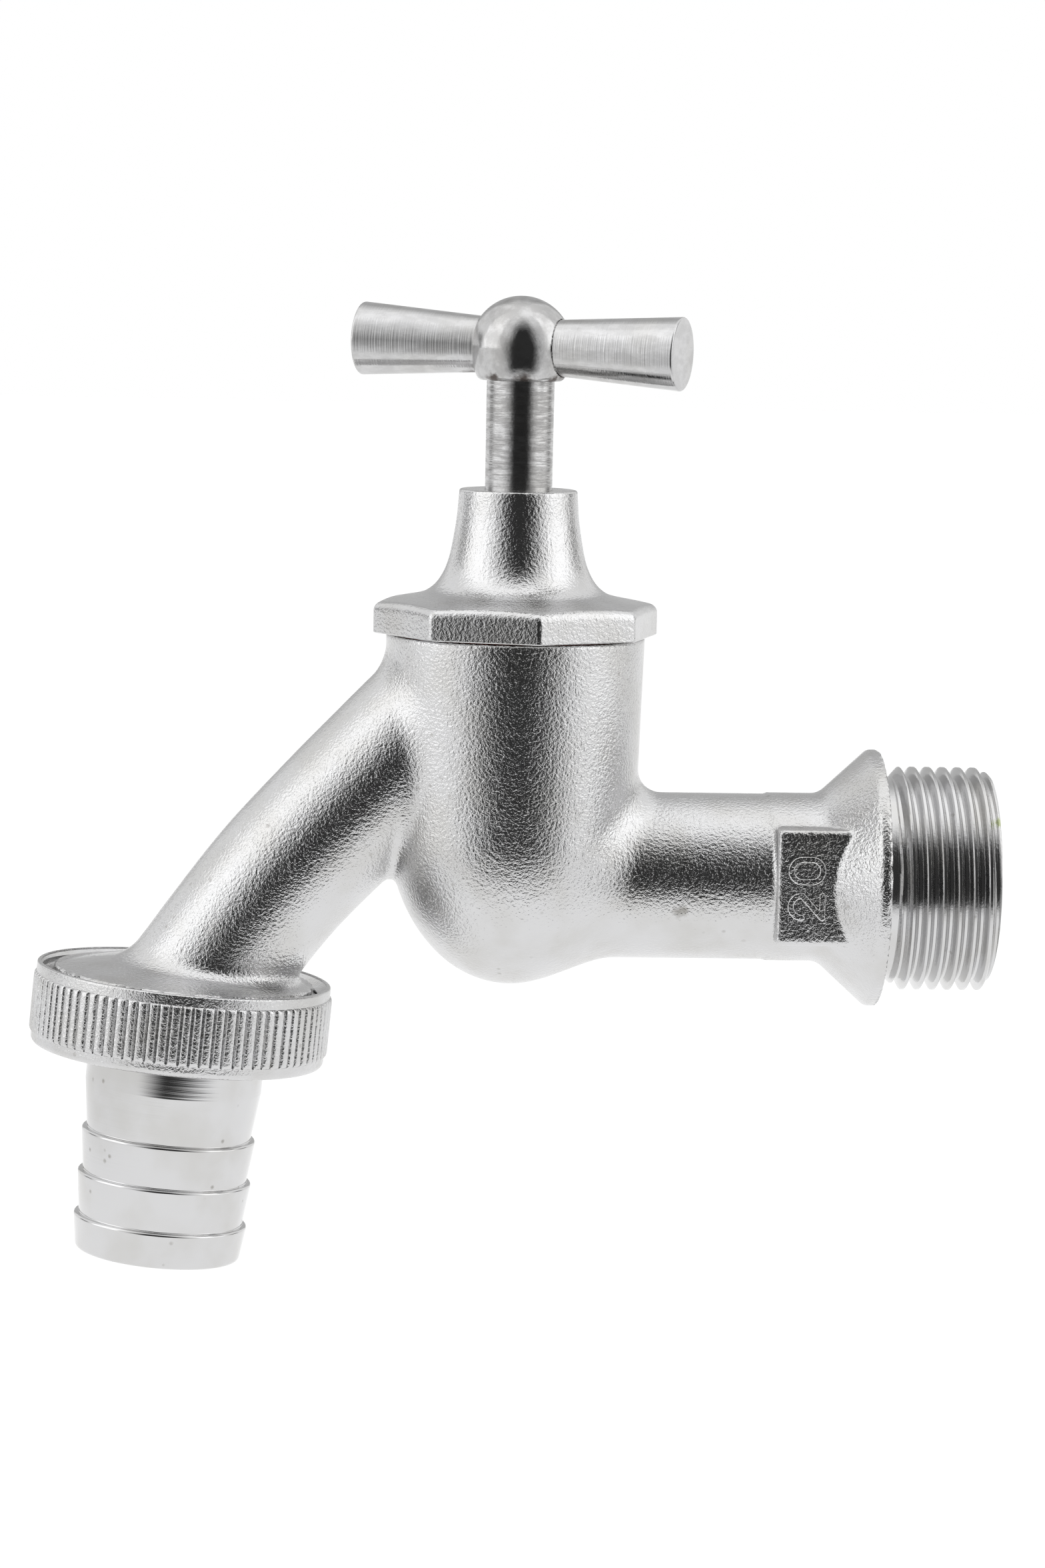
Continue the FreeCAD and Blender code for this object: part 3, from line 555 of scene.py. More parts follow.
def numeral_field(x, y, z):
    """The nominal size, 20, as raised strokes that read upwards on the front pad."""
    half_w, half_h = NUMERAL_HALF
    bow = half_h - half_w
    across, up = z + NUMERAL_STEP / 2, NUMERAL_X - x
    arc = np.where(
        up > bow, np.abs(np.hypot(across, up - bow) - half_w),
        np.minimum(np.hypot(across - half_w, up - bow), np.hypot(across + half_w, up - bow)),
    )
    marks = [arc]
    for (au, av), (bu, bv) in (
        ((half_w, bow), (-half_w, -half_h)), ((-half_w, -half_h), (half_w, -half_h)),
    ):
        eu, ev = bu - au, bv - av
        t = np.clip(((across - au) * eu + (up - av) * ev) / (eu * eu + ev * ev), 0, 1)
        marks.append(np.hypot(across - au - t * eu, up - av - t * ev))
    two = np.minimum(np.minimum(marks[0], marks[1]), marks[2])
    across = z - NUMERAL_STEP / 2
    nought = np.abs(np.hypot(across, np.maximum(np.abs(up) - bow, 0)) - half_w)
    stroke = np.minimum(two, nought) - NUMERAL_STROKE / 2
    depth = np.abs(y + PAD_HALF[1] + 0.05) - 0.3
    return common(stroke, depth, 0.14)


def numerals():
    return net(numeral_field, (
        grid_lines(NUMERAL_X - 2.61, NUMERAL_X + 2.6, 0.09),
        grid_lines(-11.33, -10.2, 0.075),
        grid_lines(-4.31, 4.3, 0.09),
    ))


def inlet_thread():
    heights = [0, 1.3, 2.5, INLET_END - 0.9, INLET_END]
    radii = [11.9, 11.9, 13.22, 13.22, 12.32]
    rows = thread_rows(G_3_4_INLET, 0.4, INLET_END, lambda z: np.interp(z, heights, radii))
    inner = [(9.85, INLET_END), (9.6, INLET_END - 0.1), (9.5, INLET_END - 0.35), (9.5, 0)]
    return column_mesh(even_angles(240), [[(11.9, 0)], rows, inner])


def outlet_thread():
    heights = [FLANGE_H, 2.0, OUTLET_END_H - 0.7, OUTLET_END_H]
    radii = [FLANGE_R, 16.62, 16.62, 15.92]
    rows = thread_rows(G_1, FLANGE_H, OUTLET_END_H, lambda z: np.interp(z, heights, radii))
    inner = [(OUTLET_BORE_R, OUTLET_END_H), (OUTLET_BORE_R, FLANGE_H)]
    return column_mesh(even_angles(240), [rows, inner])


# --- bonnet

def octagon_angles():
    """Angles that lie close together at the octagon's corners."""
    near = np.array([0, 0.2, 0.41, 0.62, 0.82, 1.1, 1.6, 2.3])
    half = np.concatenate((near, np.arange(3.2, 22.4, 1.07), [22.5]))
    side = np.concatenate((half, 45 - half[-2:0:-1]))
    degrees = np.concatenate([side + OCTAGON_TURN + 45 * i for i in range(8)])
    return np.radians(np.append(degrees, OCTAGON_TURN + 360))


def octagon_radius(angles):
    from_corner = (np.degrees(angles) - OCTAGON_TURN + 22.5) % 45 - 22.5
    psi = np.radians(from_corner)
    corner = (OCTAGON_HALF - OCTAGON_ROUND) / math.cos(math.pi / 8)
    off = corner * np.sin(psi)
    arc = corner * np.cos(psi) + np.sqrt(np.maximum(OCTAGON_ROUND**2 - off**2, 0))
    flat = OCTAGON_HALF / np.cos(math.pi / 8 - np.abs(psi))
    on_arc = np.abs(off) < OCTAGON_ROUND * math.sin(math.pi / 8) * 1.02
    return np.where(on_arc, arc, flat)


def octagon_rows(angles):
    """Side of the octagon, its rounded upper edge, and the shallow cone inside it."""
    side = octagon_radius(angles)
    inner_r, inner_z, slope = TOP_CONE

    def cone_height(r):
        return inner_z - slope * (r - inner_r)

    rows = [(side - 0.12, FLANGE_Z + 0 * side), (side, FLANGE_Z + 0.12 + 0 * side)]
    edge = cone_height(side) - OCTAGON_ROUND
    for t in np.linspace(0, 1, 9)[1:-1]:
        rows.append((side, FLANGE_Z + 0.12 + (edge - FLANGE_Z - 0.12) * t))
    for t in np.radians(np.linspace(0, 90, 8)):
        r = side * (1 - OCTAGON_ROUND * (1 - math.cos(t)) / OCTAGON_HALF)
        rows.append((r, cone_height(r) - OCTAGON_ROUND * (1 - math.sin(t))))
    outer = r
    for t in np.linspace(0, 1, 12)[1:]:
        r = outer + (inner_r - outer) * t
        rows.append((r, cone_height(r)))
    return np.stack([np.stack(row, axis=1) for row in rows], axis=1)


def bonnet_head():
    neck = smooth_curve([
        TOP_CONE[:2], (10.75, 33.2), (9.55, 34.1), (8.62, 35.5), (8.0, 37.2),
        (7.55, 39.4), (7.2, 41.7), (7.05, 43.4), (6.95, 44.85),
    ], 7)[1:]
    neck = tool_marked(neck, 0.16, 0.0025, 5)
    rim = rounded([(6.95, 44.85), (6.9, BONNET_TOP, 0.3), (4.0, BONNET_TOP, 0.22), (4.0, 44.0)])[1:]
    bore = [
        (5.77, 44.0), (5.77, 42.0), (4.0, 42.0), (4.0, 41.0), (5.77, 41.0), (5.77, 39.0),
        (4.0, 39.0), (4.0, 38.0), (6.4, 38.0), (6.4, 34.0),
    ]
    nut = thread_rows(TR_12_3, FLANGE_Z, 34.0, lambda z: 0 * z, inside=True, falling=True)
    return column_mesh(octagon_angles(), [octagon_rows, neck, rim, bore, nut])


def bonnet_shank():
    heights = [SKIRT_Z, SKIRT_Z + 0.9, GASKET_Z - 1.8, GASKET_Z - 0.6, FLANGE_Z]
    radii = [12.32, 13.22, 13.22, 12.0, 12.0]
    screw = thread_rows(G_3_4_BONNET, SKIRT_Z, FLANGE_Z, lambda z: np.interp(z, heights, radii))
    nut = thread_rows(TR_12_3, 24.5, FLANGE_Z, lambda z: 0 * z, inside=True, falling=True)
    return column_mesh(even_angles(192), [screw, nut, [(9.6, 24.5), (9.6, SKIRT_Z)]])


# --- spindle and handle

def spindle():
    heights = [17.2, 17.9, 29.8, 30.5]
    screw = thread_rows(TR_12_3, 17.2, 30.5, lambda z: np.interp(z, heights, [5.3, 6, 6, 5.3]))
    rod = tool_marked(
        [np.array(p) for p in ((3.95, 30.5), (3.95, 44.0))], 1.0, 0.0, 1
    ) + tool_marked([np.array(p) for p in ((3.95, 44.0), (3.95, HUB_BOTTOM))], 0.11, 0.003, 21)
    spigot = [(3.0, HUB_BOTTOM), (3.0, SPINDLE_TOP - 0.3), (2.7, SPINDLE_TOP), (0, SPINDLE_TOP)]
    socket = [
        (0, 27.2), (2.5, 26.0), (2.5, 23.1), (3.1, 23.1), (3.1, 22.0), (2.5, 22.0),
        (2.5, SPINDLE_BOTTOM), (4.3, SPINDLE_BOTTOM), (4.3, 17.2),
    ]
    return column_mesh(even_angles(256), [screw, rod, spigot, socket])


def hub_field(x, y, z):
    r = np.hypot(x - STEM_X, y)
    ball = np.hypot(r, z - BALL_Z) - HUB_R
    foot = r - HUB_R + 0.48 * ((BALL_Z - z) / 2.7) ** 2
    hub = common(np.where(z > BALL_Z, ball, foot), HUB_BOTTOM - z, 0.45)
    r_bar, h = about(x, y, z, BAR)
    socket = np.maximum(r_bar - ARM_ROOT_R - 0.06, ARM_ROOT - np.abs(h))
    hub = common(hub, -socket, 0.12)
    hub = np.maximum(hub, -np.maximum(r - 3.0, z - SPINDLE_TOP))
    return np.maximum(hub, -np.maximum(r_bar - 1.5, np.abs(h) - 9))


def handle_hub():
    return net(hub_field, (
        grid_lines(STEM_X - 6.27, STEM_X + 6.2, 0.137),
        grid_lines(-6.27, 6.2, 0.137),
        grid_lines(HUB_BOTTOM - 0.33, BALL_Z + 6.2, 0.137),
    ))


def handle_arm(seed):
    side = tool_marked(rounded([
        (ARM_ROOT_R, ARM_ROOT), (ARM_END_R, ARM_END, 0.2), (2.0, ARM_END),
    ])[:-1], 0.1, 0.0035, seed)
    face = tool_marked([side[-1], np.array((0.6, ARM_END - 0.02))], 0.12, 0.002, seed + 1)
    core = [(0, ARM_END - 0.02), (0, 9.0), (1.5, 9.0), (1.5, 3.6), (2.7, 3.6), (2.7, ARM_ROOT)]
    return column_mesh(even_angles(224), [side, face[1:], core])


# --- outlet union

def knurl_columns():
    """Angles of the columns round the nut, and the radius of the knurl at each."""
    chance = random.Random(84)
    shares = (0, 0.07, 0.15, 0.2, 0.3, 0.42, 0.58, 0.7, 0.8, 0.85, 0.93)
    rises = (0, 0.42, 0.9, 1.0, 1.08, 1.14, 1.14, 1.08, 1.0, 0.9, 0.42)
    step = 2 * math.pi / NUT_RIDGES
    starts = [step * (i + chance.uniform(-0.06, 0.06)) for i in range(NUT_RIDGES)]
    starts[0] = 0
    starts.append(2 * math.pi)
    angles, radii = [], []
    for start, end in zip(starts, starts[1:]):
        root = 17.12 + chance.uniform(-0.04, 0.06)
        edge = 17.54 + chance.uniform(-0.02, 0.02)
        for share, rise in zip(shares, rises):
            angles.append(start + (end - start) * share)
            radii.append(root + (edge - root) * rise)
    angles.append(2 * math.pi)
    radii.append(radii[0])
    return np.array(angles), np.minimum(np.array(radii), 17.65)


def union_nut():
    angles, knurl_r = knurl_columns()
    base = 17.32

    def knurl(_):
        rows = []
        levels = [(1.25, 0), (1.33, 0.55), (1.46, 0.86), (1.7, 1)]
        levels += [(h, 1) for h in np.arange(2.3, 7.6, 0.6)]
        levels += [(7.75, 1), (7.98, 0.86), (8.14, 0.5), (8.24, 0)]
        for h, share in levels:
            rows.append(np.stack((base + (knurl_r - base) * share, h + 0 * knurl_r), axis=1))
        return np.stack(rows, axis=1)

    rim = tool_marked(rounded([
        (16.85, 0), (17.33, 0, 0.22), (17.33, 1.24), (17.33, 1.25),
    ]), 0.09, 0.004, 7)
    band = rounded([(17.3, 8.4), (17.3, 9.6, 0.75), (10.75, 9.6, 0.15), (10.75, 8.3), (16.85, 8.3)])
    bore = lambda z: np.interp(z, [0.2, 1.7, 6.3], [16.85, 15.29, 15.29])
    thread = thread_rows(G_1, 0.2, 6.3, bore, inside=True, falling=True)
    return column_mesh(angles, [rim, knurl, band, [(16.85, 6.3)], thread])


def hose_tail():
    outline = [(7.9, 6.9), (14.6, 6.9), (14.6, 8.3), (10.4, 8.3), (10.4, 13.4, 0.6)]
    for i in range(3):
        h = 19.1 + 5.13 * i
        outline += [(9.7, h, 0.12), (10.3, h, 0.32)]
    outline += [(9.72, 33.65, 0.6), (8.4, 33.65), (7.9, 33.15)]
    points = rounded(outline)
    shown = tool_marked(points[3:-2], 0.13, 0.0022, 31)
    return column_mesh(even_angles(256), [points[:3], shown, points[-2:]])


# --- materials

class Shader:
    """Short ways to add nodes to a material or world."""

    def __init__(self, tree):
        self.tree = tree
        self.nodes = tree.nodes

    def node(self, kind, inputs=(), **settings):
        made = self.nodes.new(kind)
        for name, value in settings.items():
            setattr(made, name, value)
        for key, value in dict(inputs).items():
            if isinstance(value, bpy.types.NodeSocket):
                self.tree.links.new(value, made.inputs[key])
            else:
                made.inputs[key].default_value = value
        return made

    def math(self, operation, *values, clamp=False):
        return self.node(
            "ShaderNodeMath", dict(enumerate(values)), operation=operation, use_clamp=clamp
        ).outputs[0]

    def vector(self, operation, *values, output="Vector"):
        made = self.node("ShaderNodeVectorMath", dict(enumerate(values)), operation=operation)
        return made.outputs[output]

    def noise(self, at, scale, detail=2.0, roughness=0.5):
        return self.node(
            "ShaderNodeTexNoise",
            {"Vector": at, "Scale": scale, "Detail": detail, "Roughness": roughness},
        ).outputs[0]

    def line_noise(self, value, scale, detail=2.0):
        return self.node(
            "ShaderNodeTexNoise", {"W": value, "Scale": scale, "Detail": detail},
            noise_dimensions="1D",
        ).outputs[0]

    def between(self, value, low, high, out_low=0.0, out_high=1.0):
        return self.node(
            "ShaderNodeMapRange",
            {
                "Value": value, "From Min": low, "From Max": high,
                "To Min": out_low, "To Max": out_high,
            },
            interpolation_type="SMOOTHSTEP",
        ).outputs[0]

    def mix(self, share, a, b):
        made = self.node("ShaderNodeMix", {0: share, 6: a, 7: b}, data_type="RGBA")
        return made.outputs[2]

    def bump(self, height, distance, under=None):
        inputs = {"Height": height, "Distance": distance, "Strength": 1.0}
        if under:
            inputs["Normal"] = under
        return self.node("ShaderNodeBump", inputs).outputs[0]


def new_material(name):
    material = bpy.data.materials.new(name)
    material.use_nodes = True
    shader = Shader(material.node_tree)
    shader.nodes.clear()
    bsdf = shader.node("ShaderNodeBsdfPrincipled")
    output = shader.node("ShaderNodeOutputMaterial")
    material.node_tree.links.new(bsdf.outputs[0], output.inputs[0])
    place = shader.node("ShaderNodeTexCoord").outputs["Object"]
    in_mm = shader.vector("MULTIPLY", place, (1 / MM,) * 3)
    return material, shader, bsdf, in_mm


def set_inputs(shader, bsdf, **values):
    for name, value in values.items():
        socket = bsdf.inputs[name.replace("_", " ")]
        if isinstance(value, bpy.types.NodeSocket):
            shader.tree.links.new(value, socket)
        else:
            socket.default_value = value


def along(shader, at, place):
    """Height plus radius about a placed axis, which counts turning marks on a side
    and on an end face alike."""
    axis = place.to_3x3().col[2]
    from_origin = shader.vector("SUBTRACT", at, tuple(place.translation))
    h = shader.vector("DOT_PRODUCT", from_origin, tuple(axis), output="Value")
    length = shader.vector("LENGTH", from_origin, output="Value")
    r = shader.math("SQRT", shader.math("SUBTRACT", shader.math("MULTIPLY", length, length),
                                        shader.math("MULTIPLY", h, h)))
    return shader.math("ADD", h, shader.math("MULTIPLY", r, 0.83))


CHROME = (0.63, 0.63, 0.635, 1)
DULL = (0.36, 0.35, 0.33, 1)
TARNISH = (0.17, 0.165, 0.16, 1)


def chrome(name, grain=None, turning=None, roughness=0.08, stains_and_painted_shade=(), spots=0.0, tarnish=None):
    """Nickel-chrome plating. grain is (size, depth) of a blasted skin, turning is
    (axis, feed, depth) of lathe marks, stains are (centre, radius, colour) of real stains
    and of patches of painted shade, and tarnish is (share, upward squeeze of its patches)."""
    material, shader, bsdf, at = new_material(name)
    cloud = shader.noise(at, 0.16, 3.0)
    colour = shader.mix(shader.between(cloud, 0.35, 0.75), CHROME, (0.575, 0.57, 0.56, 1))
    rough = shader.between(cloud, 0.3, 0.75, roughness * 0.8, roughness * 1.35)
    if tarnish:
        share, squeeze = tarnish
        film = shader.noise(shader.vector("MULTIPLY", at, (1, 1, squeeze)), 0.4, 5.0, 0.65)
        colour = shader.mix(shader.between(film, 0.36, 0.6, 0.25 * share, share), colour, TARNISH)
        rough = shader.math("ADD", rough, shader.between(film, 0.36, 0.6, 0.0, 0.08))
    normal = None
    if grain:
        size, depth = grain
        coarse = shader.noise(at, 1 / size, 1.5, 0.55)
        normal = shader.bump(coarse, depth * MM)
        fine = shader.noise(at, 2.7 / size, 1.0)
        normal = shader.bump(fine, 0.3 * depth * MM, normal)
    if turning:
        axis, feed, depth = turning
        rings = shader.line_noise(along(shader, at, axis), 1 / feed, 3.0)
        normal = shader.bump(rings, depth * MM, normal)
    if spots:
        cells = shader.node("ShaderNodeTexVoronoi", {"Vector": at, "Scale": 0.42})
        here = shader.between(cells.outputs["Distance"], 0.05, 0.16, 1.0, 0.0)
        some = shader.between(shader.noise(at, 0.22, 0.0), 0.5, 0.62)
        mask = shader.math("MULTIPLY", here, shader.math("MULTIPLY", some, spots))
        colour = shader.mix(mask, colour, DULL)
        rough = shader.math("ADD", rough, shader.math("MULTIPLY", mask, 0.25))
    # Each patch tints the colour and roughens it. The dull and verdigris patches are real stains;
    # the dark brown ones are painted shade in the creases under the handle's hub and arm roots.
    for centre_mm, radius, patch_colour in stains_and_painted_shade:
        away = shader.vector("DISTANCE", at, tuple(centre_mm), output="Value")
        ragged = shader.math(
            "ADD", away, shader.math("MULTIPLY", shader.noise(at, 1.6 / radius, 3.0), radius * 1.3)
        )
        mask = shader.between(ragged, radius * 0.95, radius * 1.75, 0.9, 0.0)
        colour = shader.mix(mask, colour, patch_colour)
        rough = shader.math("ADD", rough, shader.math("MULTIPLY", mask, 0.3))
    values = {"Base_Color": colour, "Metallic": 1.0, "Roughness": rough}
    if normal:
        values["Normal"] = normal
    set_inputs(shader, bsdf, **values)
    return material


def inner_metal(name, colour, dark, roughness):
    """Turned brass or drawn steel of the pieces inside."""
    material, shader, bsdf, at = new_material(name)
    rings = shader.line_noise(along(shader, at, STEM), 9.0, 3.0)
    cloud = shader.noise(at, 0.5, 3.0)
    set_inputs(
        shader, bsdf, Base_Color=shader.mix(shader.between(cloud, 0.3, 0.75), colour, dark),
        Metallic=1.0, Roughness=shader.between(rings, 0.3, 0.7, roughness * 0.8, roughness * 1.2),
        Normal=shader.bump(rings, 0.006 * MM),
    )
    return material


def inner_soft(name, colour, dark, fibres):
    """Moulded rubber or vulcanised fibre of the seals."""
    material, shader, bsdf, at = new_material(name)
    streaks = shader.noise(shader.vector("MULTIPLY", at, (1, 1, fibres)), 3.0, 5.0, 0.6)
    set_inputs(
        shader, bsdf, Base_Color=shader.mix(shader.between(streaks, 0.35, 0.7), colour, dark),
        Roughness=shader.between(streaks, 0.3, 0.7, 0.55, 0.8),
        Normal=shader.bump(streaks, 0.02 * MM),
    )
    return material


# Dark brown used as painted shade, in the creases under the handle's arm roots and its hub foot.
PAINTED_SHADE_BROWN = (0.075, 0.058, 0.05, 1)
VERDIGRIS = (0.42, 0.47, 0.25, 1)
# Painted shade: a dark brown patch on the underside of each arm where it enters the ball.
arm_root_painted_shade = [(tuple(BAR @ Vector((2.2, 0, side * 5.4))), 2.3, PAINTED_SHADE_BROWN) for side in (1, -1)]
cast = chrome("cast_chrome", grain=(0.34, 0.1), roughness=0.07, spots=0.5, stains_and_painted_shade=[
    ((-24.0, -9.0, -3.0), 1.1, DULL),
])
cast_neck = chrome("bonnet_chrome", grain=(0.34, 0.07), roughness=0.07, spots=0.4,
                   turning=(STEM, 0.35, 0.006))
thread_chrome = chrome("thread_chrome", turning=(INLET, 0.3, 0.01), grain=(0.35, 0.012),
                       roughness=0.13, spots=0.6, stains_and_painted_shade=[((13.0, -9.5, 8.0), 0.8, VERDIGRIS)])
union_thread_chrome = chrome("union_thread_chrome", turning=(OUTLET, 0.3, 0.01), roughness=0.15)
stem_chrome = chrome("stem_chrome", grain=(0.9, 0.02), turning=(STEM, 0.16, 0.012), roughness=0.1,
                     tarnish=(0.6, 5.0))
# The hub's dark brown patches along the front of its foot, and those at the arm roots, are painted
# shade under the ball; its tarnish is the plating's own.
hub_chrome = chrome("hub_chrome", grain=(0.9, 0.016), roughness=0.08, tarnish=(0.4, 1.0), stains_and_painted_shade=[
    ((STEM_X, -4.9, HUB_BOTTOM - 0.1), 1.4, PAINTED_SHADE_BROWN), ((STEM_X - 3.4, -3.6, HUB_BOTTOM), 1.2, PAINTED_SHADE_BROWN),
    ((STEM_X + 3.4, -3.4, HUB_BOTTOM), 1.1, PAINTED_SHADE_BROWN), *arm_root_painted_shade,
])
arm_chrome = chrome("arm_chrome", turning=(BAR, 0.2, 0.014), roughness=0.08, stains_and_painted_shade=arm_root_painted_shade,
                    tarnish=(0.22, 2.5))
nut_chrome = chrome("nut_chrome", grain=(0.3, 0.07), turning=(OUTLET, 0.2, 0.004),
                    roughness=0.16, spots=0.5)
tail_chrome = chrome("tail_chrome", turning=(OUTLET, 0.18, 0.005), roughness=0.08, spots=0.9)
brass = inner_metal("brass", (0.78, 0.6, 0.3, 1), (0.6, 0.43, 0.2, 1), 0.3)
steel = inner_metal("spring_steel", (0.56, 0.57, 0.58, 1), (0.42, 0.42, 0.43, 1), 0.25)
rubber = inner_soft("rubber", (0.035, 0.035, 0.036, 1), (0.02, 0.02, 0.02, 1), 1.0)
fibre = inner_soft("vulcanised_fibre", (0.42, 0.11, 0.07, 1), (0.3, 0.07, 0.045, 1), 6.0)

for node, material in (
    ("bonnet_gasket", fibre), ("spindle_o_ring_lower", rubber), ("spindle_o_ring_upper", rubber),
    ("handle_stud", brass), ("jumper", brass), ("jumper_clip", steel), ("seat_washer", rubber),
    ("washer_plate", brass), ("washer_nut", brass), ("hose_tail_gasket", rubber),
):
    frame["nodes"][node].data.materials.clear()
    frame["nodes"][node].data.materials.append(material)

UPRIGHT = Matrix.Identity(4)
LEFT_BAR = BAR @ Matrix.Rotation(math.pi, 4, "Y")
piece("body_casting", "root", "valve_body", casting(), UPRIGHT, cast,
      skin=cast_skin(1.1, 0.007), sharp=50)
piece("body_size_numerals", "root", "valve_body", numerals(), UPRIGHT, cast,
      sharp=60)
piece("body_inlet_thread", "root", "valve_body", inlet_thread(), INLET,
      thread_chrome)
piece("body_outlet_thread", "root", "valve_body", outlet_thread(), OUTLET,
      union_thread_chrome)
piece("bonnet_octagon", "root", "bonnet", bonnet_head(), STEM, cast_neck,
      skin=cast_skin(0.8, 0.004))
piece("bonnet_shank", "root", "bonnet", bonnet_shank(), STEM, union_thread_chrome)
piece("spindle_rod", "handle", "spindle", spindle(), STEM, stem_chrome)
piece("handle_ball", "handle", "handle_hub", handle_hub(), UPRIGHT, hub_chrome,
      sharp=50)
piece("handle_bar_right", "handle", "handle_arm_right", handle_arm(41), BAR,
      arm_chrome)
piece("handle_bar_left", "handle", "handle_arm_left", handle_arm(53), LEFT_BAR,
      arm_chrome)
piece("union_nut_knurled", "nut", "union_nut", union_nut(), OUTLET, nut_chrome)
piece("hose_tail_barbed", "hose_connector", "hose_tail", hose_tail(), OUTLET,
      tail_chrome)


# --- studio

# A white room. Azimuth counts from -Y, to either side, and elevation from the horizon.
WALL_LIGHT = 1.0
CEILING_LIGHT = 1.35
CEILING_FADE = (36, 84)          # degrees up, where walls turn into ceiling
SIDE_PANEL = (78, 22, 1.6)      # middle and half width in degrees, brightness
PANEL_SOFTNESS = 5
DIM_GAP = (119, 10, 0.35)        # beside each panel, near the horizon
GAP_FADE = (8, 22)
FRONT_HALF = 38                  # the dark front, which narrows upwards
FRONT_SOFTNESS = 17
FRONT_NARROWING = 0.3
FRONT_LIGHT = 0.04
BACK_HALF = 24                   # the dim back
BACK_LIGHT = 0.55
FLOOR_LIGHT = 1.1
FLOOR_REACH = (80, 165)         # where the floor starts and ends fading, in mm


def degrees_round(shader, x, y):
    turn = shader.math("ARCTAN2", x, shader.math("MULTIPLY", y, -1.0))
    return shader.math("ABSOLUTE", shader.math("MULTIPLY", turn, 180 / math.pi))


def faded(shader, share, a, b):
    return shader.math("ADD", shader.math("MULTIPLY", share, b),
                       shader.math("MULTIPLY", shader.math("SUBTRACT", 1.0, share), a))


def panel(shader, azimuth, middle, half):
    away = shader.math("ABSOLUTE", shader.math("SUBTRACT", azimuth, middle))
    return shader.between(away, half - PANEL_SOFTNESS, half + PANEL_SOFTNESS, 1.0, 0.0)


def dark_front(shader, azimuth, elevation):
    spread = shader.math("ADD", azimuth, shader.math("MULTIPLY", elevation, FRONT_NARROWING))
    fading = (FRONT_HALF - FRONT_SOFTNESS, FRONT_HALF + FRONT_SOFTNESS)
    return shader.between(spread, *fading, 1.0, 0.0)


def studio_light():
    """Soft white room with a bright panel at each side, a dark front and a dimmer back."""
    world = bpy.data.worlds.new("studio")
    bpy.context.scene.world = world
    world.use_nodes = True
    shader = Shader(world.node_tree)
    shader.nodes.clear()
    x, y, z = shader.node(
        "ShaderNodeSeparateXYZ", {0: shader.node("ShaderNodeTexCoord").outputs["Generated"]}
    ).outputs
    azimuth = degrees_round(shader, x, y)
    elevation = shader.math("MULTIPLY", shader.math("ARCSINE", z), 180 / math.pi)
    light = faded(shader, panel(shader, azimuth, *SIDE_PANEL[:2]), WALL_LIGHT, SIDE_PANEL[2])
    gap = shader.math("MULTIPLY", panel(shader, azimuth, *DIM_GAP[:2]),
                      shader.between(elevation, *GAP_FADE, 1.0, 0.0))
    light = faded(shader, gap, light, DIM_GAP[2])
    light = faded(shader, dark_front(shader, azimuth, elevation), light, FRONT_LIGHT)
    light = faded(shader, panel(shader, azimuth, 180, BACK_HALF), light, BACK_LIGHT)
    light = faded(shader, shader.between(elevation, *CEILING_FADE), light, CEILING_LIGHT)
    seen = shader.node("ShaderNodeLightPath").outputs["Is Camera Ray"]
    background = shader.node(
        "ShaderNodeBackground", {"Color": (1, 1, 1, 1), "Strength": faded(shader, seen, light, 1.0)}
    )
    output = shader.node("ShaderNodeOutputWorld")
    world.node_tree.links.new(background.outputs[0], output.inputs[0])


def level_sheet(name, half, z, material):
    mesh = bpy.data.meshes.new(name)
    mesh.from_pydata([(-half, -half, z), (half, -half, z), (half, half, z), (-half, half, z)], [],
                     [(0, 1, 2, 3)])
    mesh.materials.append(material)
    made = bpy.data.objects.new(name, mesh)
    bpy.context.scene.collection.objects.link(made)
    return made


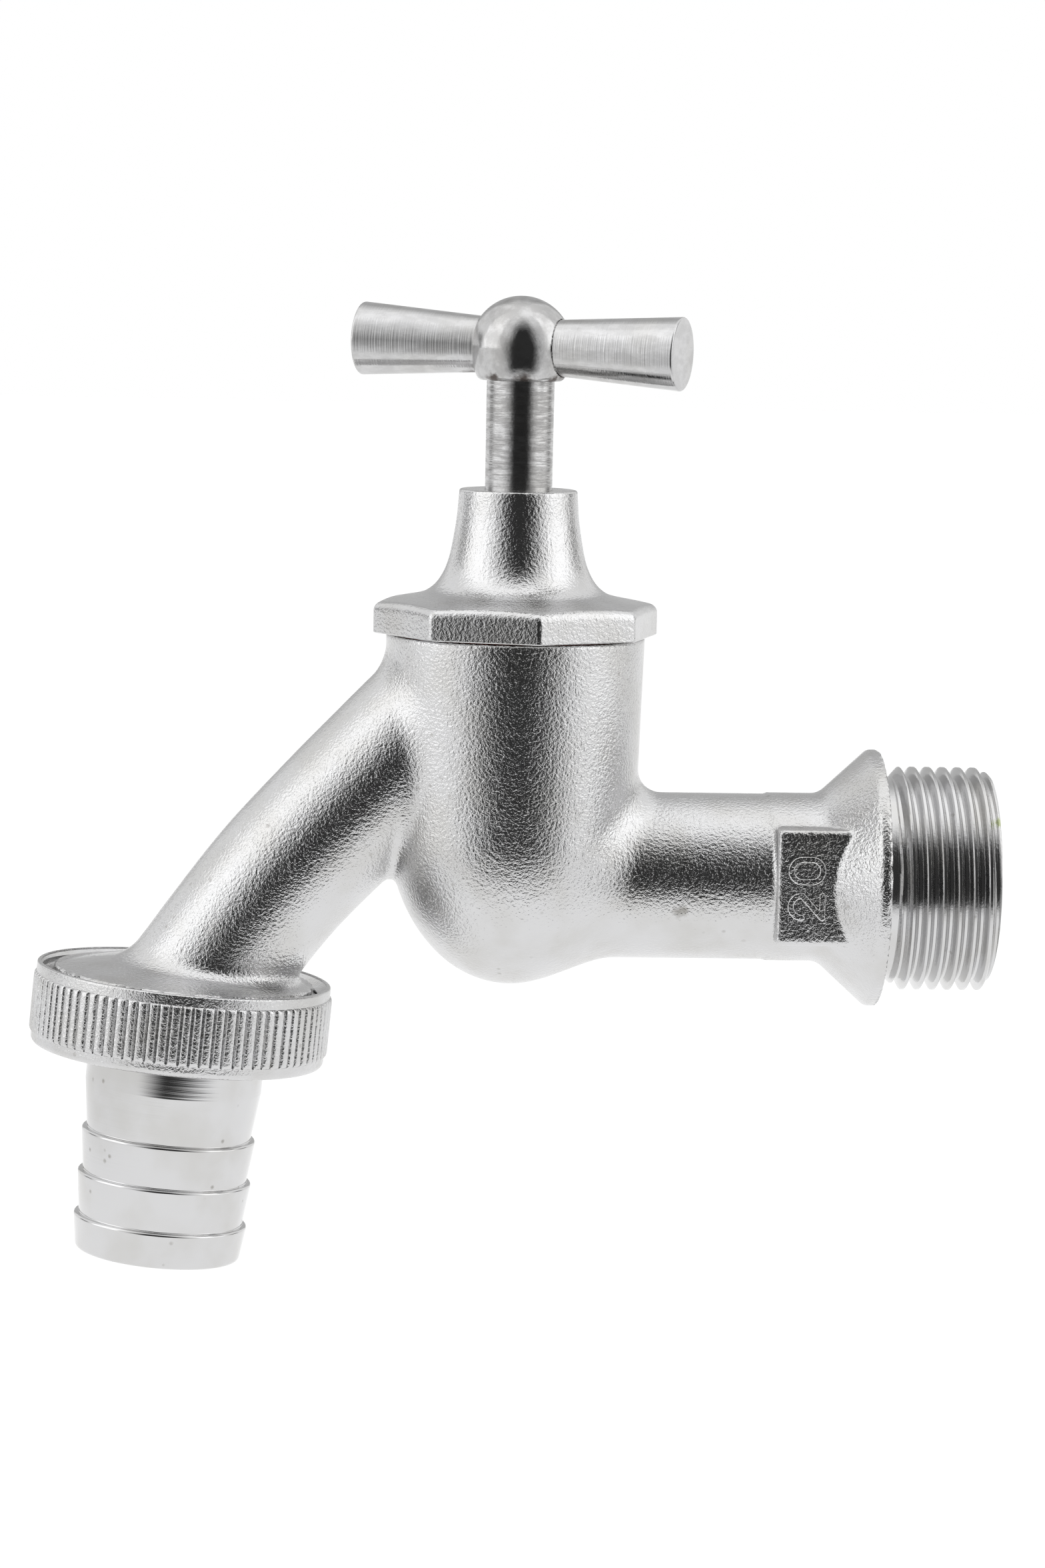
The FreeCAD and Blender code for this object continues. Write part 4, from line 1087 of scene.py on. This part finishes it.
def floor():
    """Plain pale floor, evenly lit. What the chrome mirrors is a second sheet, white near
    the object and as dark as the room's front further out."""
    material, shader, bsdf, at = new_material("pale_floor")
    speckle = shader.between(shader.noise(at, 0.6, 3.0), 0.3, 0.7, 0.985, 1.0)
    colour = shader.node("ShaderNodeCombineColor", {0: speckle, 1: speckle, 2: speckle}).outputs[0]
    set_inputs(shader, bsdf, Base_Color=(0.05, 0.05, 0.05, 1), Roughness=1.0,
               Emission_Color=colour, Emission_Strength=1.0, Specular_IOR_Level=0.0)
    level_sheet("floor", 3.0, -0.052, material).visible_glossy = False

    material, shader, bsdf, at = new_material("mirrored_floor")
    x, y, z = shader.node(
        "ShaderNodeSeparateXYZ", {0: shader.vector("SUBTRACT", at, (STEM_X, 0, 0))}
    ).outputs
    away = shader.math("SQRT", shader.math("ADD", shader.math("MULTIPLY", x, x),
                                           shader.math("MULTIPLY", y, y)))
    outer = faded(shader, dark_front(shader, degrees_round(shader, x, y), 0.0), WALL_LIGHT,
                  FRONT_LIGHT)
    light = faded(shader, shader.between(away, *FLOOR_REACH), FLOOR_LIGHT, outer)
    set_inputs(shader, bsdf, Base_Color=(0, 0, 0, 1), Roughness=1.0, Specular_IOR_Level=0.0,
               Emission_Color=(1, 1, 1, 1), Emission_Strength=light)
    mirrored = level_sheet("mirrored_floor", 3.0, -0.0521, material)
    mirrored.visible_camera = False
    mirrored.visible_shadow = False


def camera():
    """Level with the stem's foot, a little to its left, and tilted down slightly."""
    azimuth, elevation, roll = (math.radians(a) for a in (-3.84, 6.54, 1.21))
    target = Vector((-0.0422, 0, 0.0106))
    back = Vector((
        math.sin(azimuth) * math.cos(elevation),
        -math.cos(azimuth) * math.cos(elevation),
        math.sin(elevation),
    ))
    right = (-back).cross(Vector((0, 0, 1))).normalized()
    up = right.cross(-back)
    leaned_right = right * math.cos(roll) + up * math.sin(roll)
    leaned_up = up * math.cos(roll) - right * math.sin(roll)
    data = bpy.data.cameras.new("camera")
    data.lens = 110.4
    data.sensor_width = 36
    data.clip_start = 0.01
    made = bpy.data.objects.new("camera", data)
    bpy.context.scene.collection.objects.link(made)
    turn = Matrix((leaned_right, leaned_up, back)).transposed()
    made.matrix_world = Matrix.Translation(target + back * 0.5667) @ turn.to_4x4()
    bpy.context.scene.camera = made


studio_light()
floor()
camera()
bpy.context.scene.view_settings.view_transform = "Standard"
